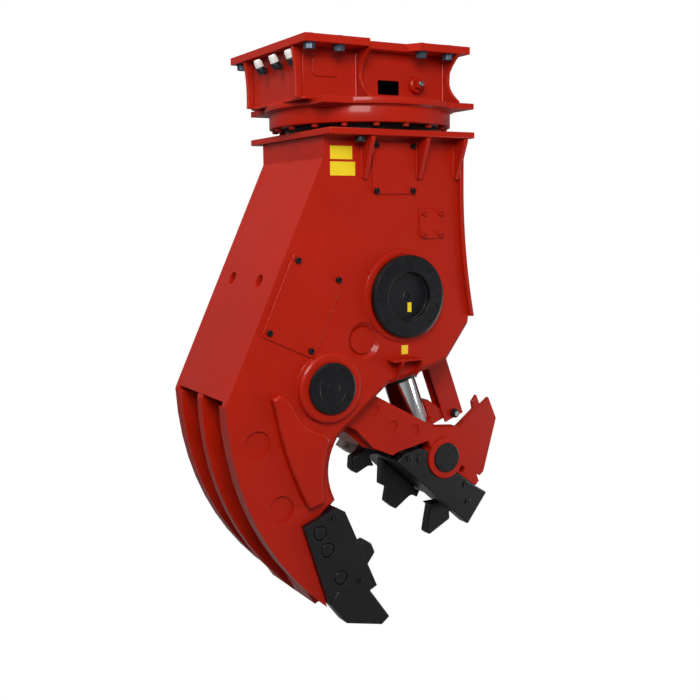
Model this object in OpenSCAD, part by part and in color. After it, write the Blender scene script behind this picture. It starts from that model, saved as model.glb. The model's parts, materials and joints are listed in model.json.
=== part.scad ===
// Rotating concrete pulverizer for an excavator arm.
// X runs along the side plates towards the rod pin, Y across the body, Z up.
// The origin is the slew axis at the upper face of the mount.

/* [Side view] */
// Reference length that every side outline and joint centre follows
reach = 1000; // [996:1:1004]

/* [Mount] */
// Length of the mount plate along X
mount_l = 800; // [790:2:820]
// Width of the mount plate along Y
mount_w = 730; // [724:2:760]
// Thickness of the mount plate
mount_t = 31; // [28:1:34]
// Distance from the slew axis back to the middle of the mount
mount_back = 60; // [56:1:64]
// Distance from the bolts to the back edge and to both long edges
bolt_edge = 40; // [38:1:42]
// Distance from the bolts to the front edge
bolt_front_edge = 90; // [88:1:94]
// Distance from each end bolt to the inner bolt beside it
bolt_step = 135; // [130:1:138]
// Diameter of a mount bolt
bolt_d = 36; // [30:1:40]
// Depth of the notch in the long edges
notch_depth = 55; // [40:1:56]

/* [Mount box] */
// How far the mount plate stands out past each end of the box
box_inset_x = 47; // [44:1:48]
// How far the mount plate stands out past each side of the box
box_inset_y = 115; // [110:1:120]
// Height from the mount face down to the lower flange
box_drop = 235; // [230:1:240]
// Thickness of the box walls
box_wall = 14; // [12:1:16]
// Thickness of the lower flange
flange_t = 25; // [22:1:28]

/* [Slew ring] */
// Outer diameter of the drum
drum_d = 808; // [800:2:816]
// Height of the drum
drum_h = 71; // [70:1:72]
// Outer diameter of the outer race
race_d = 700; // [690:2:706]
// Diameter where the two races run on each other
race_split_d = 620; // [616:2:626]
// Number of teeth inside the ring gear
ring_teeth = 82; // [80:1:84]
// Number of teeth on the pinion
pinion_teeth = 14; // [14:1:15]
// Size of one tooth as pitch diameter per tooth
tooth_module = 6; // [6:0.05:6.1]
// Number of bolts round the drum
drum_bolts = 18; // [16:1:20]

/* [Body] */
// Thickness of a side plate
side_t = 45; // [43:1:46]
// Thickness of the doubler inside each side plate
doubler_t = 30; // [28:1:30]
// Thickness of the top plate
top_t = 27; // [25:1:30]
// How far the top plate stands out past each side plate
top_over = 90; // [85:1:100]
// Gap between the drum and the top plate
drum_gap = 29; // [28:1:31]
// Thickness of the back plate
back_t = 25; // [22:1:28]
// Thickness of the front plate
front_t = 20; // [18:1:24]
// How far the front plate stands out past each side plate
front_lip = 22; // [18:1:26]

/* [Pivots] */
// Diameter of the jaw pivot pin
jaw_pin_d = 170; // [164:2:176]
// Diameter of the rod pin
rod_pin_d = 96; // [92:2:98]
// Diameter of the trunnions
trunnion_d = 150; // [146:2:156]
// Wall of the bushes
bush_wall = 20; // [18:1:21]
// Radial running gap
run_gap = 0.05; // [0.04:0.01:0.06]

/* [Cylinder] */
// Outer diameter of the barrel
barrel_d = 260; // [256:2:266]
// Bore of the barrel
bore_d = 210; // [206:2:214]
// Diameter of the rod
rod_d = 150; // [146:2:152]
// Outer diameter of the rod eye
eye_d = 190; // [186:2:192]
// Width of the rod eye
eye_w = 160; // [154:2:166]

/* [Moving jaw] */
// Width over the moving jaw, which the body follows
jaw_w = 410; // [400:2:420]
// Gap between the moving jaw and the doubler on each side
jaw_gap = 10; // [9:1:14]
// Thickness of each jaw side plate
jaw_t = 70; // [66:1:72]
// Width of one tooth block
tooth_w = 56; // [50:2:66]

/* [Caps] */
// Diameter of the trunnion caps
trunnion_cap_d = 358; // [352:2:362]
// Diameter of the jaw pin caps
jaw_cap_d = 220; // [216:2:224]
// How far the caps stand out from the side plates
cap_proud = 44; // [42:1:46]

/* [Hidden] */
$fn = 96;
cut_over = 2;

// Joint centres in the side view, as shares of the reference length
jaw_pivot_share = [-0.335, -1.431];
trunnion_share = [0.048, -1.063];
rod_pin_share = [0.330, -1.837];
jaw_pivot = jaw_pivot_share * reach;
trunnion = trunnion_share * reach;
rod_pin_at = rod_pin_share * reach;
rod_run = rod_pin_at - trunnion;
rod_length = norm(rod_run);
rod_turn = atan2(rod_run.x, rod_run.y);

// Levels of the mount, the slew ring and the top plate
flange_top = -box_drop;
drum_top = flange_top - flange_t;
drum_foot = drum_top - drum_h;
body_top = drum_foot - drum_gap;
body_under = body_top - top_t;

// Planes across the body, from the moving jaw outwards
jaw_face = jaw_w / 2;
jaw_inner = jaw_face - jaw_t;
doubler_inner = jaw_face + jaw_gap;
side_inner = doubler_inner + doubler_t;
side_face = side_inner + side_t;
top_w = 2 * (side_face + top_over);

// Places a child on both sides of the middle plane
module both_sides() {
    children();
    mirror([0, 1, 0]) children();
}

// Extrudes a side-view outline between two planes across the body
module slab(points, y_low, y_high) {
    translate([0, y_high, 0]) rotate([90, 0, 0]) linear_extrude(height = y_high - y_low) polygon(points);
}

// Round bar across the body
module bar_y(centre, radius, y_low, y_high) {
    translate([centre.x, y_high, centre.y]) rotate([90, 0, 0]) cylinder(r = radius, h = y_high - y_low);
}

// Flat ring across the body
module ring_y(centre, outer, inner, y_low, y_high) {
    difference() {
        bar_y(centre, outer, y_low, y_high);
        bar_y(centre, inner, y_low - cut_over, y_high + cut_over);
    }
}

// Upright tube
module tube_z(outer, inner, z_low, z_high) {
    translate([0, 0, z_low]) difference() {
        cylinder(r = outer, h = z_high - z_low);
        translate([0, 0, -cut_over]) cylinder(r = inner, h = z_high - z_low + 2 * cut_over);
    }
}

// Places a child in the frame of the lift cylinder, with Z from the trunnion to the rod pin
module along_cylinder() {
    translate([trunnion.x, 0, trunnion.y]) rotate([0, rod_turn, 0]) children();
}

// Points of a shallow arc from a to b that bows to the left of its run by the rise
arc_steps = 10;
function bow(a, b, rise, steps = arc_steps) =
    let (run = b - a, left = [-run.y, run.x] / norm(run))
    [for (i = [0 : steps]) a + run * i / steps + left * rise * 4 * i * (steps - i) / (steps * steps)];

// Points on a circle about a centre between two angles
function arc_about(centre, radius, from, to, steps = arc_steps) =
    [for (i = [0 : steps])
        let (turn = from + (to - from) * i / steps) centre + radius * [cos(turn), sin(turn)]];

// Mount plate, its notches and its bolts
mount_low = -mount_t;
mount_x = -mount_back;
box_l = mount_l - 2 * box_inset_x;
box_w = mount_w - 2 * box_inset_y;
bolt_back_x = mount_x - mount_l / 2 + bolt_edge;
bolt_front_x = mount_x + mount_l / 2 - bolt_front_edge;
bolt_y = mount_w / 2 - bolt_edge;
notch_back_gap = 125;
notch_front_gap = 30;
notch_slant = 35;
notch_back_x = bolt_back_x + bolt_step + notch_back_gap;
notch_front_x = bolt_front_x - bolt_step - notch_front_gap;
bolt_play = 1.5;
bolt_hole_d = bolt_d + 2 * bolt_play;
bolt_head_d = 50;
bolt_head_h = 26;
bolt_shank_up = 6;
function mount_places() = [
    for (sy = [-1, 1], x = [bolt_back_x, bolt_back_x + bolt_step, bolt_front_x - bolt_step, bolt_front_x])
        [x, sy * bolt_y]
];

// Plan outline of the mount plate
module mount_outline() {
    difference() {
        translate([mount_x, 0]) square([mount_l, mount_w], center = true);
        for (side = [-1, 1]) scale([1, side]) polygon([
            [notch_back_x, -mount_w / 2 - cut_over], [notch_back_x, -mount_w / 2 + notch_depth],
            [notch_front_x - notch_slant, -mount_w / 2 + notch_depth], [notch_front_x, -mount_w / 2 - cut_over]
        ]);
    }
}

module mount_plate() {
    color("firebrick") translate([0, 0, mount_low]) difference() {
        linear_extrude(height = mount_t) mount_outline();
        for (place = mount_places()) translate([place.x, place.y, -cut_over])
            cylinder(d = bolt_hole_d, h = mount_t + 2 * cut_over);
    }
}

module mount_bolts() {
    color("slategray") for (place = mount_places()) translate([place.x, place.y, mount_low]) {
        translate([0, 0, -bolt_head_h]) cylinder(d = bolt_head_d, h = bolt_head_h);
        cylinder(d = bolt_d, h = mount_t + bolt_shank_up);
    }
}

// Box between the mount plate and the flange, with a window in its near wall
window_l = 100;
window_h = 54;
window_x = -4;
window_z = -176;
module mount_box() {
    color("firebrick") difference() {
        translate([mount_x - box_l / 2, -box_w / 2, flange_top]) cube([box_l, box_w, box_drop - mount_t]);
        translate([mount_x - box_l / 2 + box_wall, -box_w / 2 + box_wall, flange_top - cut_over])
            cube([box_l - 2 * box_wall, box_w - 2 * box_wall, box_drop - mount_t + 2 * cut_over]);
        translate([window_x - window_l / 2, -box_w / 2 - cut_over, window_z - window_h / 2])
            cube([window_l, box_wall + 2 * cut_over, window_h]);
    }
}

// Gusset with a hollow outer edge, from the box wall out to the plate edge
gusset_t = 16;
gusset_neck = 30;
gusset_inset = 6;
gusset_step = 129;
module gusset(out_top, out_foot) {
    tall = box_drop - mount_t;
    rotate([90, 0, 0]) linear_extrude(height = gusset_t, center = true) polygon(concat(
        [[0, 0], [0, tall], [out_top, tall]],
        bow([out_top, tall - gusset_inset], [out_foot, gusset_inset], gusset_neck - (out_top + out_foot) / 2),
        [[out_foot, 0]]
    ));
}

module mount_gussets() {
    out_y = (mount_w - box_w) / 2 - gusset_inset;
    out_x = (mount_l - box_l) / 2 - gusset_inset;
    color("firebrick") both_sides() {
        for (x = [bolt_back_x + bolt_step + gusset_step, mount_x + (box_l - gusset_t) / 2])
            translate([x, -box_w / 2, flange_top]) rotate([0, 0, -90]) gusset(out_y, out_y);
        translate([mount_x - box_l / 2, -box_w / 2 + gusset_t, flange_top]) rotate([0, 0, 180])
            gusset(out_x, gusset_neck);
        translate([mount_x + box_l / 2, -box_w / 2 + gusset_t, flange_top]) gusset(out_x, out_x);
    }
}

// Plain cover on the near wall of the box
cover_l = 116;
cover_h = 78;
cover_inset = 101;
cover_z = -108;
cover_t = 6;
cover_r = 16;
module mount_cover() {
    color("firebrick") translate([mount_x - box_l / 2 + cover_inset, -box_w / 2, cover_z]) rotate([90, 0, 0])
        linear_extrude(height = cover_t) rounded(cover_l, cover_h, cover_r);
}

// Flat rectangle with round corners about its middle
module rounded(length, height, radius) {
    square([length - 2 * radius, height], center = true);
    square([length, height - 2 * radius], center = true);
    for (sx = [-1, 1], sy = [-1, 1]) translate([sx * (length / 2 - radius), sy * (height / 2 - radius)])
        circle(r = radius);
}

// Round flange with four corner tabs above the drum
flange_d = 850;
tab_over_x = 19;
tab_over_y = 102;
flange_tab_x = box_l / 2 + tab_over_x;
flange_tab_y = box_w / 2 + tab_over_y;
tab_cut = 205;
gear_r = ring_teeth * tooth_module / 2;
pinion_r = pinion_teeth * tooth_module / 2;
pinion_at = [-(gear_r - pinion_r), 0];
motor_shaft_d = 34;
swivel_d = 220;
swivel_core_d = 140;
module mount_flange() {
    color("firebrick") translate([0, 0, drum_top]) difference() {
        linear_extrude(height = flange_t) union() {
            circle(d = flange_d);
            for (sx = [-1, 1], sy = [-1, 1]) scale([sx, sy]) polygon([
                [tab_cut, tab_cut], [tab_cut, flange_tab_y],
                [flange_tab_x, flange_tab_y], [flange_tab_x, tab_cut]
            ]);
        }
        translate([0, 0, -cut_over]) cylinder(r = swivel_d / 2 + run_gap, h = flange_t + 2 * cut_over);
        translate([pinion_at.x, pinion_at.y, -cut_over])
            cylinder(r = motor_shaft_d / 2 + run_gap, h = flange_t + 2 * cut_over);
    }
}

// Three capped hydraulic ports on the back wall of the box
port_pitch_share = 0.295;
port_y = -58;
port_z = -88;
port_tilt = -24;
port_collar_d = 38;
port_collar_l = 28;
port_cap_d = 34;
port_cap_l = 34;
port_stem_d = 26;
port_stem_l = 24;
module at_ports() {
    for (i = [-1 : 1])
        translate([mount_x - box_l / 2, port_y + i * port_pitch_share * box_w, port_z]) children();
}

module port_collars() {
    color("dimgray") at_ports() {
        rotate([0, -90, 0]) cylinder(d = port_stem_d, h = port_stem_l);
        translate([-port_stem_l, 0, 0]) rotate([0, port_tilt, 0]) translate([0, 0, -port_stem_d / 2])
            cylinder(d = port_collar_d, h = port_collar_l);
    }
}

module port_caps() {
    color("whitesmoke") at_ports() translate([-port_stem_l, 0, 0]) rotate([0, port_tilt, 0])
        translate([0, 0, port_collar_l - port_stem_d / 2]) cylinder(d = port_cap_d, h = port_cap_l);
}

// Threaded plug on its boss in the near wall
plug_x = 132;
plug_z = -158;
plug_boss_d = 72;
plug_boss_l = 24;
plug_hex_d = 46;
plug_hex_l = 22;
plug_tip_d = 26;
plug_tip_l = 12;
module access_plug() {
    color("silver") translate([plug_x, -box_w / 2, plug_z]) rotate([90, 0, 0]) {
        cylinder(d = plug_boss_d, h = plug_boss_l);
        translate([0, 0, plug_boss_l]) cylinder(d = plug_hex_d, h = plug_hex_l, $fn = 6);
        translate([0, 0, plug_boss_l + plug_hex_l]) cylinder(d = plug_tip_d, h = plug_tip_l);
    }
}

// Hydraulic slew motor on the flange
motor_d = 120;
motor_h = 130;
motor_foot = 150;
motor_foot_h = 20;
module slew_motor() {
    color("dimgray") translate([pinion_at.x, pinion_at.y, flange_top]) difference() {
        union() {
            translate([-motor_foot / 2, -motor_foot / 2, 0]) cube([motor_foot, motor_foot, motor_foot_h]);
            cylinder(d = motor_d, h = motor_h);
        }
        translate([0, 0, -cut_over]) cylinder(r = motor_shaft_d / 2 + run_gap, h = motor_h / 2 + cut_over);
    }
}

// Tooth proportions, as shares of the module or of the tooth pitch
tip_share = 0.8;
root_share = 1.15;
root_thick_share = 0.58;
pitch_thick_share = 0.42;
top_thick_share = 0.20;
function tooth_side(radius_shift, thick_share, pitch_r) =
    [pitch_r + radius_shift * tooth_module, thick_share * PI * tooth_module / 2];

// Pinion on its shaft, below the flange
pinion_drop = 14;
pinion_h = 40;
module slew_pinion() {
    root_r = pinion_r - root_share * tooth_module;
    shaft_h = flange_t + motor_h / 2 + pinion_drop - cut_over;
    color("darkgray") translate([pinion_at.x, pinion_at.y, drum_top - pinion_drop - pinion_h]) {
        linear_extrude(height = pinion_h) union() {
            circle(r = root_r);
            for (i = [0 : pinion_teeth - 1]) rotate(180 + 360 * i / pinion_teeth) polygon([
                [root_r - cut_over, -root_thick_share * PI * tooth_module / 2],
                tooth_side(0, -pitch_thick_share, pinion_r), tooth_side(tip_share, -top_thick_share, pinion_r),
                tooth_side(tip_share, top_thick_share, pinion_r), tooth_side(0, pitch_thick_share, pinion_r),
                [root_r - cut_over, root_thick_share * PI * tooth_module / 2]
            ]);
        }
        translate([0, 0, pinion_h]) cylinder(d = motor_shaft_d, h = shaft_h);
    }
}

// Stationary half of the rotary oil joint
swivel_top = -150;
module swivel_housing() {
    color("dimgray") tube_z(swivel_d / 2, swivel_core_d / 2 + run_gap, drum_foot, swivel_top);
}

// Drum below the flange, with holes for its bolts
drum_bolt_circle = 756;
drum_bolt_d = 20;
drum_head_d = 30;
drum_head_h = 16;
module round_drum() {
    for (i = [0 : drum_bolts - 1])
        rotate(360 * (i + 0.5) / drum_bolts) translate([drum_bolt_circle / 2, 0, 0]) children();
}

module drum_housing() {
    color("firebrick") difference() {
        tube_z(drum_d / 2, race_d / 2 + run_gap, drum_foot, drum_top);
        round_drum() translate([0, 0, drum_foot - cut_over])
            cylinder(d = drum_bolt_d, h = drum_h + 2 * cut_over);
    }
}

module drum_bolts() {
    color("slategray") round_drum() {
        translate([0, 0, drum_foot - drum_head_h]) cylinder(d = drum_head_d, h = drum_head_h);
        translate([0, 0, drum_foot]) cylinder(d = drum_bolt_d - 2 * run_gap, h = drum_h);
    }
}

// Outer race under the flange
race_gap = 6;
module outer_race() {
    color("silver") tube_z(race_d / 2, race_split_d / 2, drum_foot, drum_top);
}

// Inner race with the ring gear inside it, on the top plate
gear_wall = 12;
module inner_race() {
    race_top = drum_top - race_gap;
    bore_r = gear_r + root_share * tooth_module;
    color("silver") translate([0, 0, body_top]) linear_extrude(height = race_top - body_top) union() {
        difference() {
            circle(r = race_split_d / 2 - run_gap);
            circle(r = bore_r);
        }
        for (i = [0 : ring_teeth - 1]) rotate(180 + 360 * (i + 0.5) / ring_teeth) polygon([
            [bore_r + gear_wall, -root_thick_share * PI * tooth_module / 2],
            [gear_r, -pitch_thick_share * PI * tooth_module / 2],
            [gear_r - tip_share * tooth_module, -top_thick_share * PI * tooth_module / 2],
            [gear_r - tip_share * tooth_module, top_thick_share * PI * tooth_module / 2],
            [gear_r, pitch_thick_share * PI * tooth_module / 2],
            [bore_r + gear_wall, root_thick_share * PI * tooth_module / 2]
        ]);
    }
}

// Turning half of the rotary oil joint
core_flange_d = 260;
core_flange_t = 18;
module swivel_core() {
    color("gray") {
        translate([0, 0, body_top]) cylinder(d = core_flange_d, h = core_flange_t);
        translate([0, 0, body_under]) cylinder(d = swivel_core_d, h = swivel_top - body_under);
    }
}

// Top plate of the body
top_back_share = -0.363;
top_front_share = 0.357;
top_back = top_back_share * reach;
top_front = top_front_share * reach;
module top_plate() {
    color("firebrick") difference() {
        translate([top_back, -top_w / 2, body_under]) cube([top_front - top_back, top_w, top_t]);
        translate([0, 0, body_under - cut_over])
            cylinder(r = swivel_core_d / 2 + run_gap, h = top_t + 2 * cut_over);
    }
}

// Threaded plug under the top plate
plate_plug_x_share = -0.195;
plate_plug_d = 44;
plate_plug_h = 26;
module top_plate_plug() {
    color("dimgray")
        translate([plate_plug_x_share * reach, -side_face - top_over / 2, body_under - plate_plug_h])
            cylinder(d = plate_plug_d, h = plate_plug_h);
}

// Side plate outline, from the top plate round the fixed jaw to the throat
back_x_share = -0.345;
kink_share = [-0.345, -0.478];
foot_share = [-0.798, -1.452];
heel_share = [-0.805, -1.472];
toe_share = [-0.357, -2.395];
shoe_back_share = [-0.477, -2.013];
shoe_top_share = [-0.322, -1.950];
throat_low_share = [-0.300, -1.930];
throat_top_share = [-0.280, -1.650];
throat_mouth_share = [-0.030, -1.450];
mouth_shares = [[0.100, -1.420], [0.200, -1.395], [0.285, -1.365], [0.405, -1.205]];
bulge_share = [0.411, -1.170];
waist_share = [0.350, -0.560];
back_bow_share = 0.112;
throat_bow_share = 0.040;
front_bow_share = 0.016;
function side_outline() = concat(
    [[back_x_share * reach, body_under], kink_share * reach, foot_share * reach],
    bow(heel_share * reach, toe_share * reach, -back_bow_share * reach),
    [shoe_back_share * reach, shoe_top_share * reach],
    bow(throat_low_share * reach, throat_top_share * reach, throat_bow_share * reach),
    [throat_mouth_share * reach],
    mouth_shares * reach,
    bow(bulge_share * reach, waist_share * reach, front_bow_share * reach),
    [[waist_share.x * reach, body_under]]
);

// Round plug recesses in the outer face of each side plate
recess_shares = [[-0.160, -1.245], [-0.668, -1.638], [-0.568, -1.925]];
recess_d = 114;
recess_depth = 12;
module side_plate() {
    difference() {
        slab(side_outline(), -side_face, -side_inner);
        bar_y(trunnion, trunnion_d / 2 + bush_wall + run_gap, -side_face - cut_over, -side_inner + cut_over);
        bar_y(jaw_pivot, jaw_pin_d / 2 + run_gap, -side_face - cut_over, -side_inner + cut_over);
        for (spot = recess_shares)
            bar_y(spot * reach, recess_d / 2, -side_face - cut_over, -side_face + recess_depth);
        slab(front_cut(), -side_face - cut_over, -side_inner + cut_over);
    }
}

module near_side_plate() { color("firebrick") side_plate(); }

module far_side_plate() { color("firebrick") mirror([0, 1, 0]) side_plate(); }

// Doubler inside each side plate, from the jaw pivot down to the tongue under the shoe
tongue_shares = [[-0.172, -2.310], [-0.300, -2.000]];
doubler_throat_low_share = [-0.322, -1.930];
doubler_throat_top_share = [-0.305, -1.670];
doubler_top_shares = [[-0.130, -1.530], [-0.130, -1.280], [-0.640, -1.280], [-0.740, -1.475]];
function doubler_outline() = concat(
    bow(heel_share * reach, toe_share * reach, -back_bow_share * reach),
    tongue_shares * reach,
    bow(doubler_throat_low_share * reach, doubler_throat_top_share * reach, throat_bow_share * reach),
    doubler_top_shares * reach
);

module doubler() {
    difference() {
        slab(doubler_outline(), -side_inner, -doubler_inner);
        bar_y(jaw_pivot, jaw_pin_d / 2 + run_gap, -side_inner - cut_over, -doubler_inner + cut_over);
    }
}

module doublers() { color("firebrick") both_sides() doubler(); }

// Back plate between the side plates, with two round holes
back_hole_d = 58;
back_hole_y = 139;
back_hole_run_share = 0.514;
function back_line(shift) = let (
    kink = kink_share * reach,
    foot = foot_share * reach,
    along = (foot - kink) / norm(foot - kink),
    inward = [-along.y, along.x]
) [kink + inward * shift, foot + inward * shift];

module back_plate() {
    inner = back_line(back_t);
    kink = kink_share * reach;
    foot = foot_share * reach;
    hole_at = kink_share * reach + (foot - kink) * back_hole_run_share;
    color("firebrick") difference() {
        slab([
            [back_x_share * reach, body_under], kink, foot, inner[1],
            [back_x_share * reach + back_t, inner[0].y], [back_x_share * reach + back_t, body_under]
        ], -side_inner, side_inner);
        for (side = [-1, 1]) translate([hole_at.x, side * back_hole_y, hole_at.y])
            rotate([0, 90 + slant_turn, 0]) cylinder(d = back_hole_d, h = 4 * back_t, center = true);
    }
}

// Front plate down the edge of the body
function front_run() = concat(
    [[waist_share.x * reach, body_under]],
    bow(waist_share * reach, bulge_share * reach, -front_bow_share * reach)
);
function front_cut() = concat(
    [for (p = front_run()) p - [front_t, 0]],
    [for (i = [len(front_run()) - 1 : -1 : 0]) front_run()[i] + [cut_over, 0]]
);

module front_plate() {
    points = front_run();
    last = len(points) - 1;
    color("firebrick") slab(
        concat(
            [for (p = points) p - [front_t, 0]],
            [for (i = [last : -1 : 0]) points[i]]
        ), -side_face - front_lip, side_face + front_lip
    );
}

// Ribs between the side plates and the overhang of the top plate
rib_t = 20;
rib_x_shares = [-0.152, 0.122, 0.318];
rib_drop_share = 0.175;
rib_foot = 14;
rib_inset = 8;
module top_ribs() {
    out = top_w / 2 - side_face - rib_inset;
    color("firebrick") both_sides() for (x_share = rib_x_shares)
        translate([x_share * reach - rib_t / 2, -side_face, body_under]) rotate([90, 0, 90])
            linear_extrude(height = rib_t) polygon([
                [0, 0], [-out, 0], [-out, -rib_foot],
                [-rib_foot, -rib_drop_share * reach], [0, -rib_drop_share * reach]
            ]);
}

// Bolted covers on both side plates
upper_cover_x_share = -0.005;
upper_cover_drop = 20;
upper_cover_l = 216;
upper_cover_h = 216;
upper_cover_at = [upper_cover_x_share * reach, body_under - upper_cover_drop - upper_cover_h / 2];
upper_bolt_x = 184;
upper_bolt_z = 190;
side_cover_t = 8;
small_cover_share = [0.189, -0.752];
small_cover_l = 126;
small_cover_h = 128;
small_bolt_x = 88;
small_bolt_z = 93;
slant_cover_share = [-0.448, -1.080];
slant_cover_l = 262;
slant_cover_h = 372;
slant_bolt_x = 207;
slant_bolt_z = 319;
slant_turn = atan2(kink_share.x - foot_share.x, kink_share.y - foot_share.y);
module side_covers() {
    color("firebrick") both_sides() {
        translate([upper_cover_at.x, -side_face, upper_cover_at.y]) rotate([90, 0, 0])
            linear_extrude(height = side_cover_t) rounded(upper_cover_l, upper_cover_h, cover_r);
        translate([small_cover_share.x * reach, -side_face, small_cover_share.y * reach]) rotate([90, 0, 0])
            linear_extrude(height = side_cover_t) rounded(small_cover_l, small_cover_h, cover_r);
        translate([slant_cover_share.x * reach, -side_face, slant_cover_share.y * reach])
            rotate([0, slant_turn, 0]) rotate([90, 0, 0])
                linear_extrude(height = side_cover_t) rounded(slant_cover_l, slant_cover_h, cover_r);
    }
}

cover_bolt_d = 26;
cover_bolt_h = 12;
cover_key_d = 12;
cover_key_depth = 6;
module cover_bolt() {
    rotate([90, 0, 0]) difference() {
        cylinder(d = cover_bolt_d, h = cover_bolt_h);
        translate([0, 0, cover_bolt_h - cover_key_depth]) cylinder(d = cover_key_d, h = cover_bolt_h, $fn = 6);
    }
}

module four_bolts(place, turn, pitch_x, pitch_z) {
    translate([place.x, -side_face - side_cover_t, place.y]) rotate([0, turn, 0])
        for (sx = [-1, 1], sz = [-1, 1]) translate([sx * pitch_x / 2, 0, sz * pitch_z / 2]) cover_bolt();
}

module cover_bolts() {
    color("black") both_sides() {
        four_bolts(upper_cover_at, 0, upper_bolt_x, upper_bolt_z);
        four_bolts(small_cover_share * reach, 0, small_bolt_x, small_bolt_z);
        four_bolts(slant_cover_share * reach, slant_turn, slant_bolt_x, slant_bolt_z);
    }
}

// Fin down the middle of the fixed jaw, from the back plate to the cross beam
fin_t = 50;
fin_toe_share = [-0.378, -2.402];
fin_front_shares = [
    [-0.340, -2.385], [-0.315, -2.335], [-0.450, -2.150], [-0.540, -1.960], [-0.660, -1.700], [-0.720, -1.452]
];
module centre_fin() {
    foot = back_line(back_t)[1];
    color("firebrick") slab(concat(
        [foot_share * reach, heel_share * reach],
        bow(heel_share * reach, fin_toe_share * reach, -back_bow_share * reach),
        fin_front_shares * reach,
        [foot]
    ), -fin_t / 2, fin_t / 2);
}

// Beams that tie the cheeks of the fixed jaw to its middle fin
beam_shares = [
    [-0.440, -2.060], [-0.310, -2.330], [-0.340, -2.385], [-0.378, -2.402], [-0.430, -2.322], [-0.500, -2.110]
];
web_shares = [[-0.745, -1.560], [-0.705, -1.550], [-0.665, -1.720], [-0.705, -1.730]];
module cross_beams() {
    color("firebrick") {
        for (side = [-1, 1]) scale([1, side, 1]) {
            slab(beam_shares * reach, fin_t / 2, doubler_inner);
            slab(web_shares * reach, fin_t / 2, doubler_inner);
        }
    }
}

// Raised pads on the outer faces of the fixed jaw
pad_proud = 40;
pad_nose_shares = [[-0.600, -1.492], [-0.615, -1.452], [-0.575, -1.432], [-0.535, -1.462]];
pad_throat_top_share = [-0.346, -1.645];
pad_throat_low_share = [-0.377, -1.917];
pad_foot_share = [-0.451, -1.937];
pad_radius_share = 0.190;
pad_bow_share = 0.018;
pad_turn_from = 205;
pad_turn_to = 258;
module cheek_pads() {
    points = concat(
        pad_nose_shares * reach,
        arc_about(jaw_pivot, pad_radius_share * reach, pad_turn_from, pad_turn_to),
        bow(pad_throat_top_share * reach, pad_throat_low_share * reach, -pad_bow_share * reach),
        bow(pad_foot_share * reach, pad_nose_shares[0] * reach, pad_bow_share * reach)
    );
    color("firebrick") both_sides() slab(points, -side_face - pad_proud, -side_face);
}

// Small brackets below the trunnion caps
bracket_share = [0.031, -1.335];
bracket_l = 156;
bracket_out = 58;
bracket_t = 8;
bracket_drop = 84;
bracket_hole_d = 16;
bracket_rib_x = -30;
module hose_brackets() {
    color("firebrick") both_sides() translate([bracket_share.x * reach, -side_face, bracket_share.y * reach]) {
        difference() {
            translate([-bracket_l / 2, -bracket_out, -bracket_t]) cube([bracket_l, bracket_out, bracket_t]);
            translate([0, -bracket_out / 2, -bracket_t - cut_over])
                cylinder(d = bracket_hole_d, h = bracket_t + 2 * cut_over);
        }
        for (x = [bracket_rib_x, bracket_l / 2 - bracket_t]) translate([x, 0, -bracket_t]) rotate([90, 0, 90])
            linear_extrude(height = bracket_t)
                polygon([[0, 0], [-bracket_out, 0], [-bracket_out, -bracket_t], [0, -bracket_drop]]);
    }
}

// Bosses, pin and caps of the jaw pivot
jaw_boss_d = 300;
jaw_boss_h = 28;
module jaw_bosses() {
    color("firebrick") both_sides()
        ring_y(jaw_pivot, jaw_boss_d / 2, jaw_pin_d / 2 + run_gap, -side_face - jaw_boss_h, -side_face);
}

module jaw_pin() {
    color("silver") bar_y(jaw_pivot, jaw_pin_d / 2, -side_face - jaw_boss_h, side_face + jaw_boss_h);
}

module jaw_pin_caps() {
    color("black") both_sides()
        bar_y(jaw_pivot, jaw_cap_d / 2, -side_face - cap_proud, -side_face - jaw_boss_h);
}

// Bushes, bezels and caps of the cylinder trunnions
bezel_d = 402;
bezel_h = 10;
cap_recess_d = 210;
cap_recess = 26;
cap_hole_d = 24;
module trunnion_bushes() {
    color("goldenrod") both_sides()
        ring_y(trunnion, trunnion_d / 2 + bush_wall, trunnion_d / 2 + run_gap, -side_face, -side_inner);
}

module trunnion_bezels() {
    color("firebrick") both_sides()
        ring_y(trunnion, bezel_d / 2, trunnion_cap_d / 2 - bezel_h, -side_face - bezel_h, -side_face);
}

module trunnion_caps() {
    outer = -side_face - cap_proud;
    under = -side_face - bezel_h;
    color("black") both_sides() difference() {
        bar_y(trunnion, trunnion_cap_d / 2, outer, under);
        bar_y(trunnion, cap_recess_d / 2, outer - cut_over, outer + cap_recess);
        bar_y(trunnion, cap_hole_d / 2, outer - cut_over, under + cut_over);
    }
}

// Small socket bolts round the caps
cap_bolt_d = 18;
cap_bolt_h = 3;
trunnion_bolt_r = 152;
jaw_bolt_r = 94;
trunnion_bolt_turns = [0, 45, 90, 135, 180, 225, 270, 315, 162, 343];
jaw_bolt_turns = [30, 60, 90, 150, 210, 240, 270, 330];
module cap_bolts() {
    color("dimgray") both_sides() {
        for (turn = trunnion_bolt_turns)
            bar_y(trunnion + trunnion_bolt_r * [cos(turn), sin(turn)], cap_bolt_d / 2,
                -side_face - cap_proud - cap_bolt_h, -side_face - cap_proud);
        for (turn = jaw_bolt_turns)
            bar_y(jaw_pivot + jaw_bolt_r * [cos(turn), sin(turn)], cap_bolt_d / 2,
                -side_face - cap_proud - cap_bolt_h, -side_face - cap_proud);
    }
}

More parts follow.
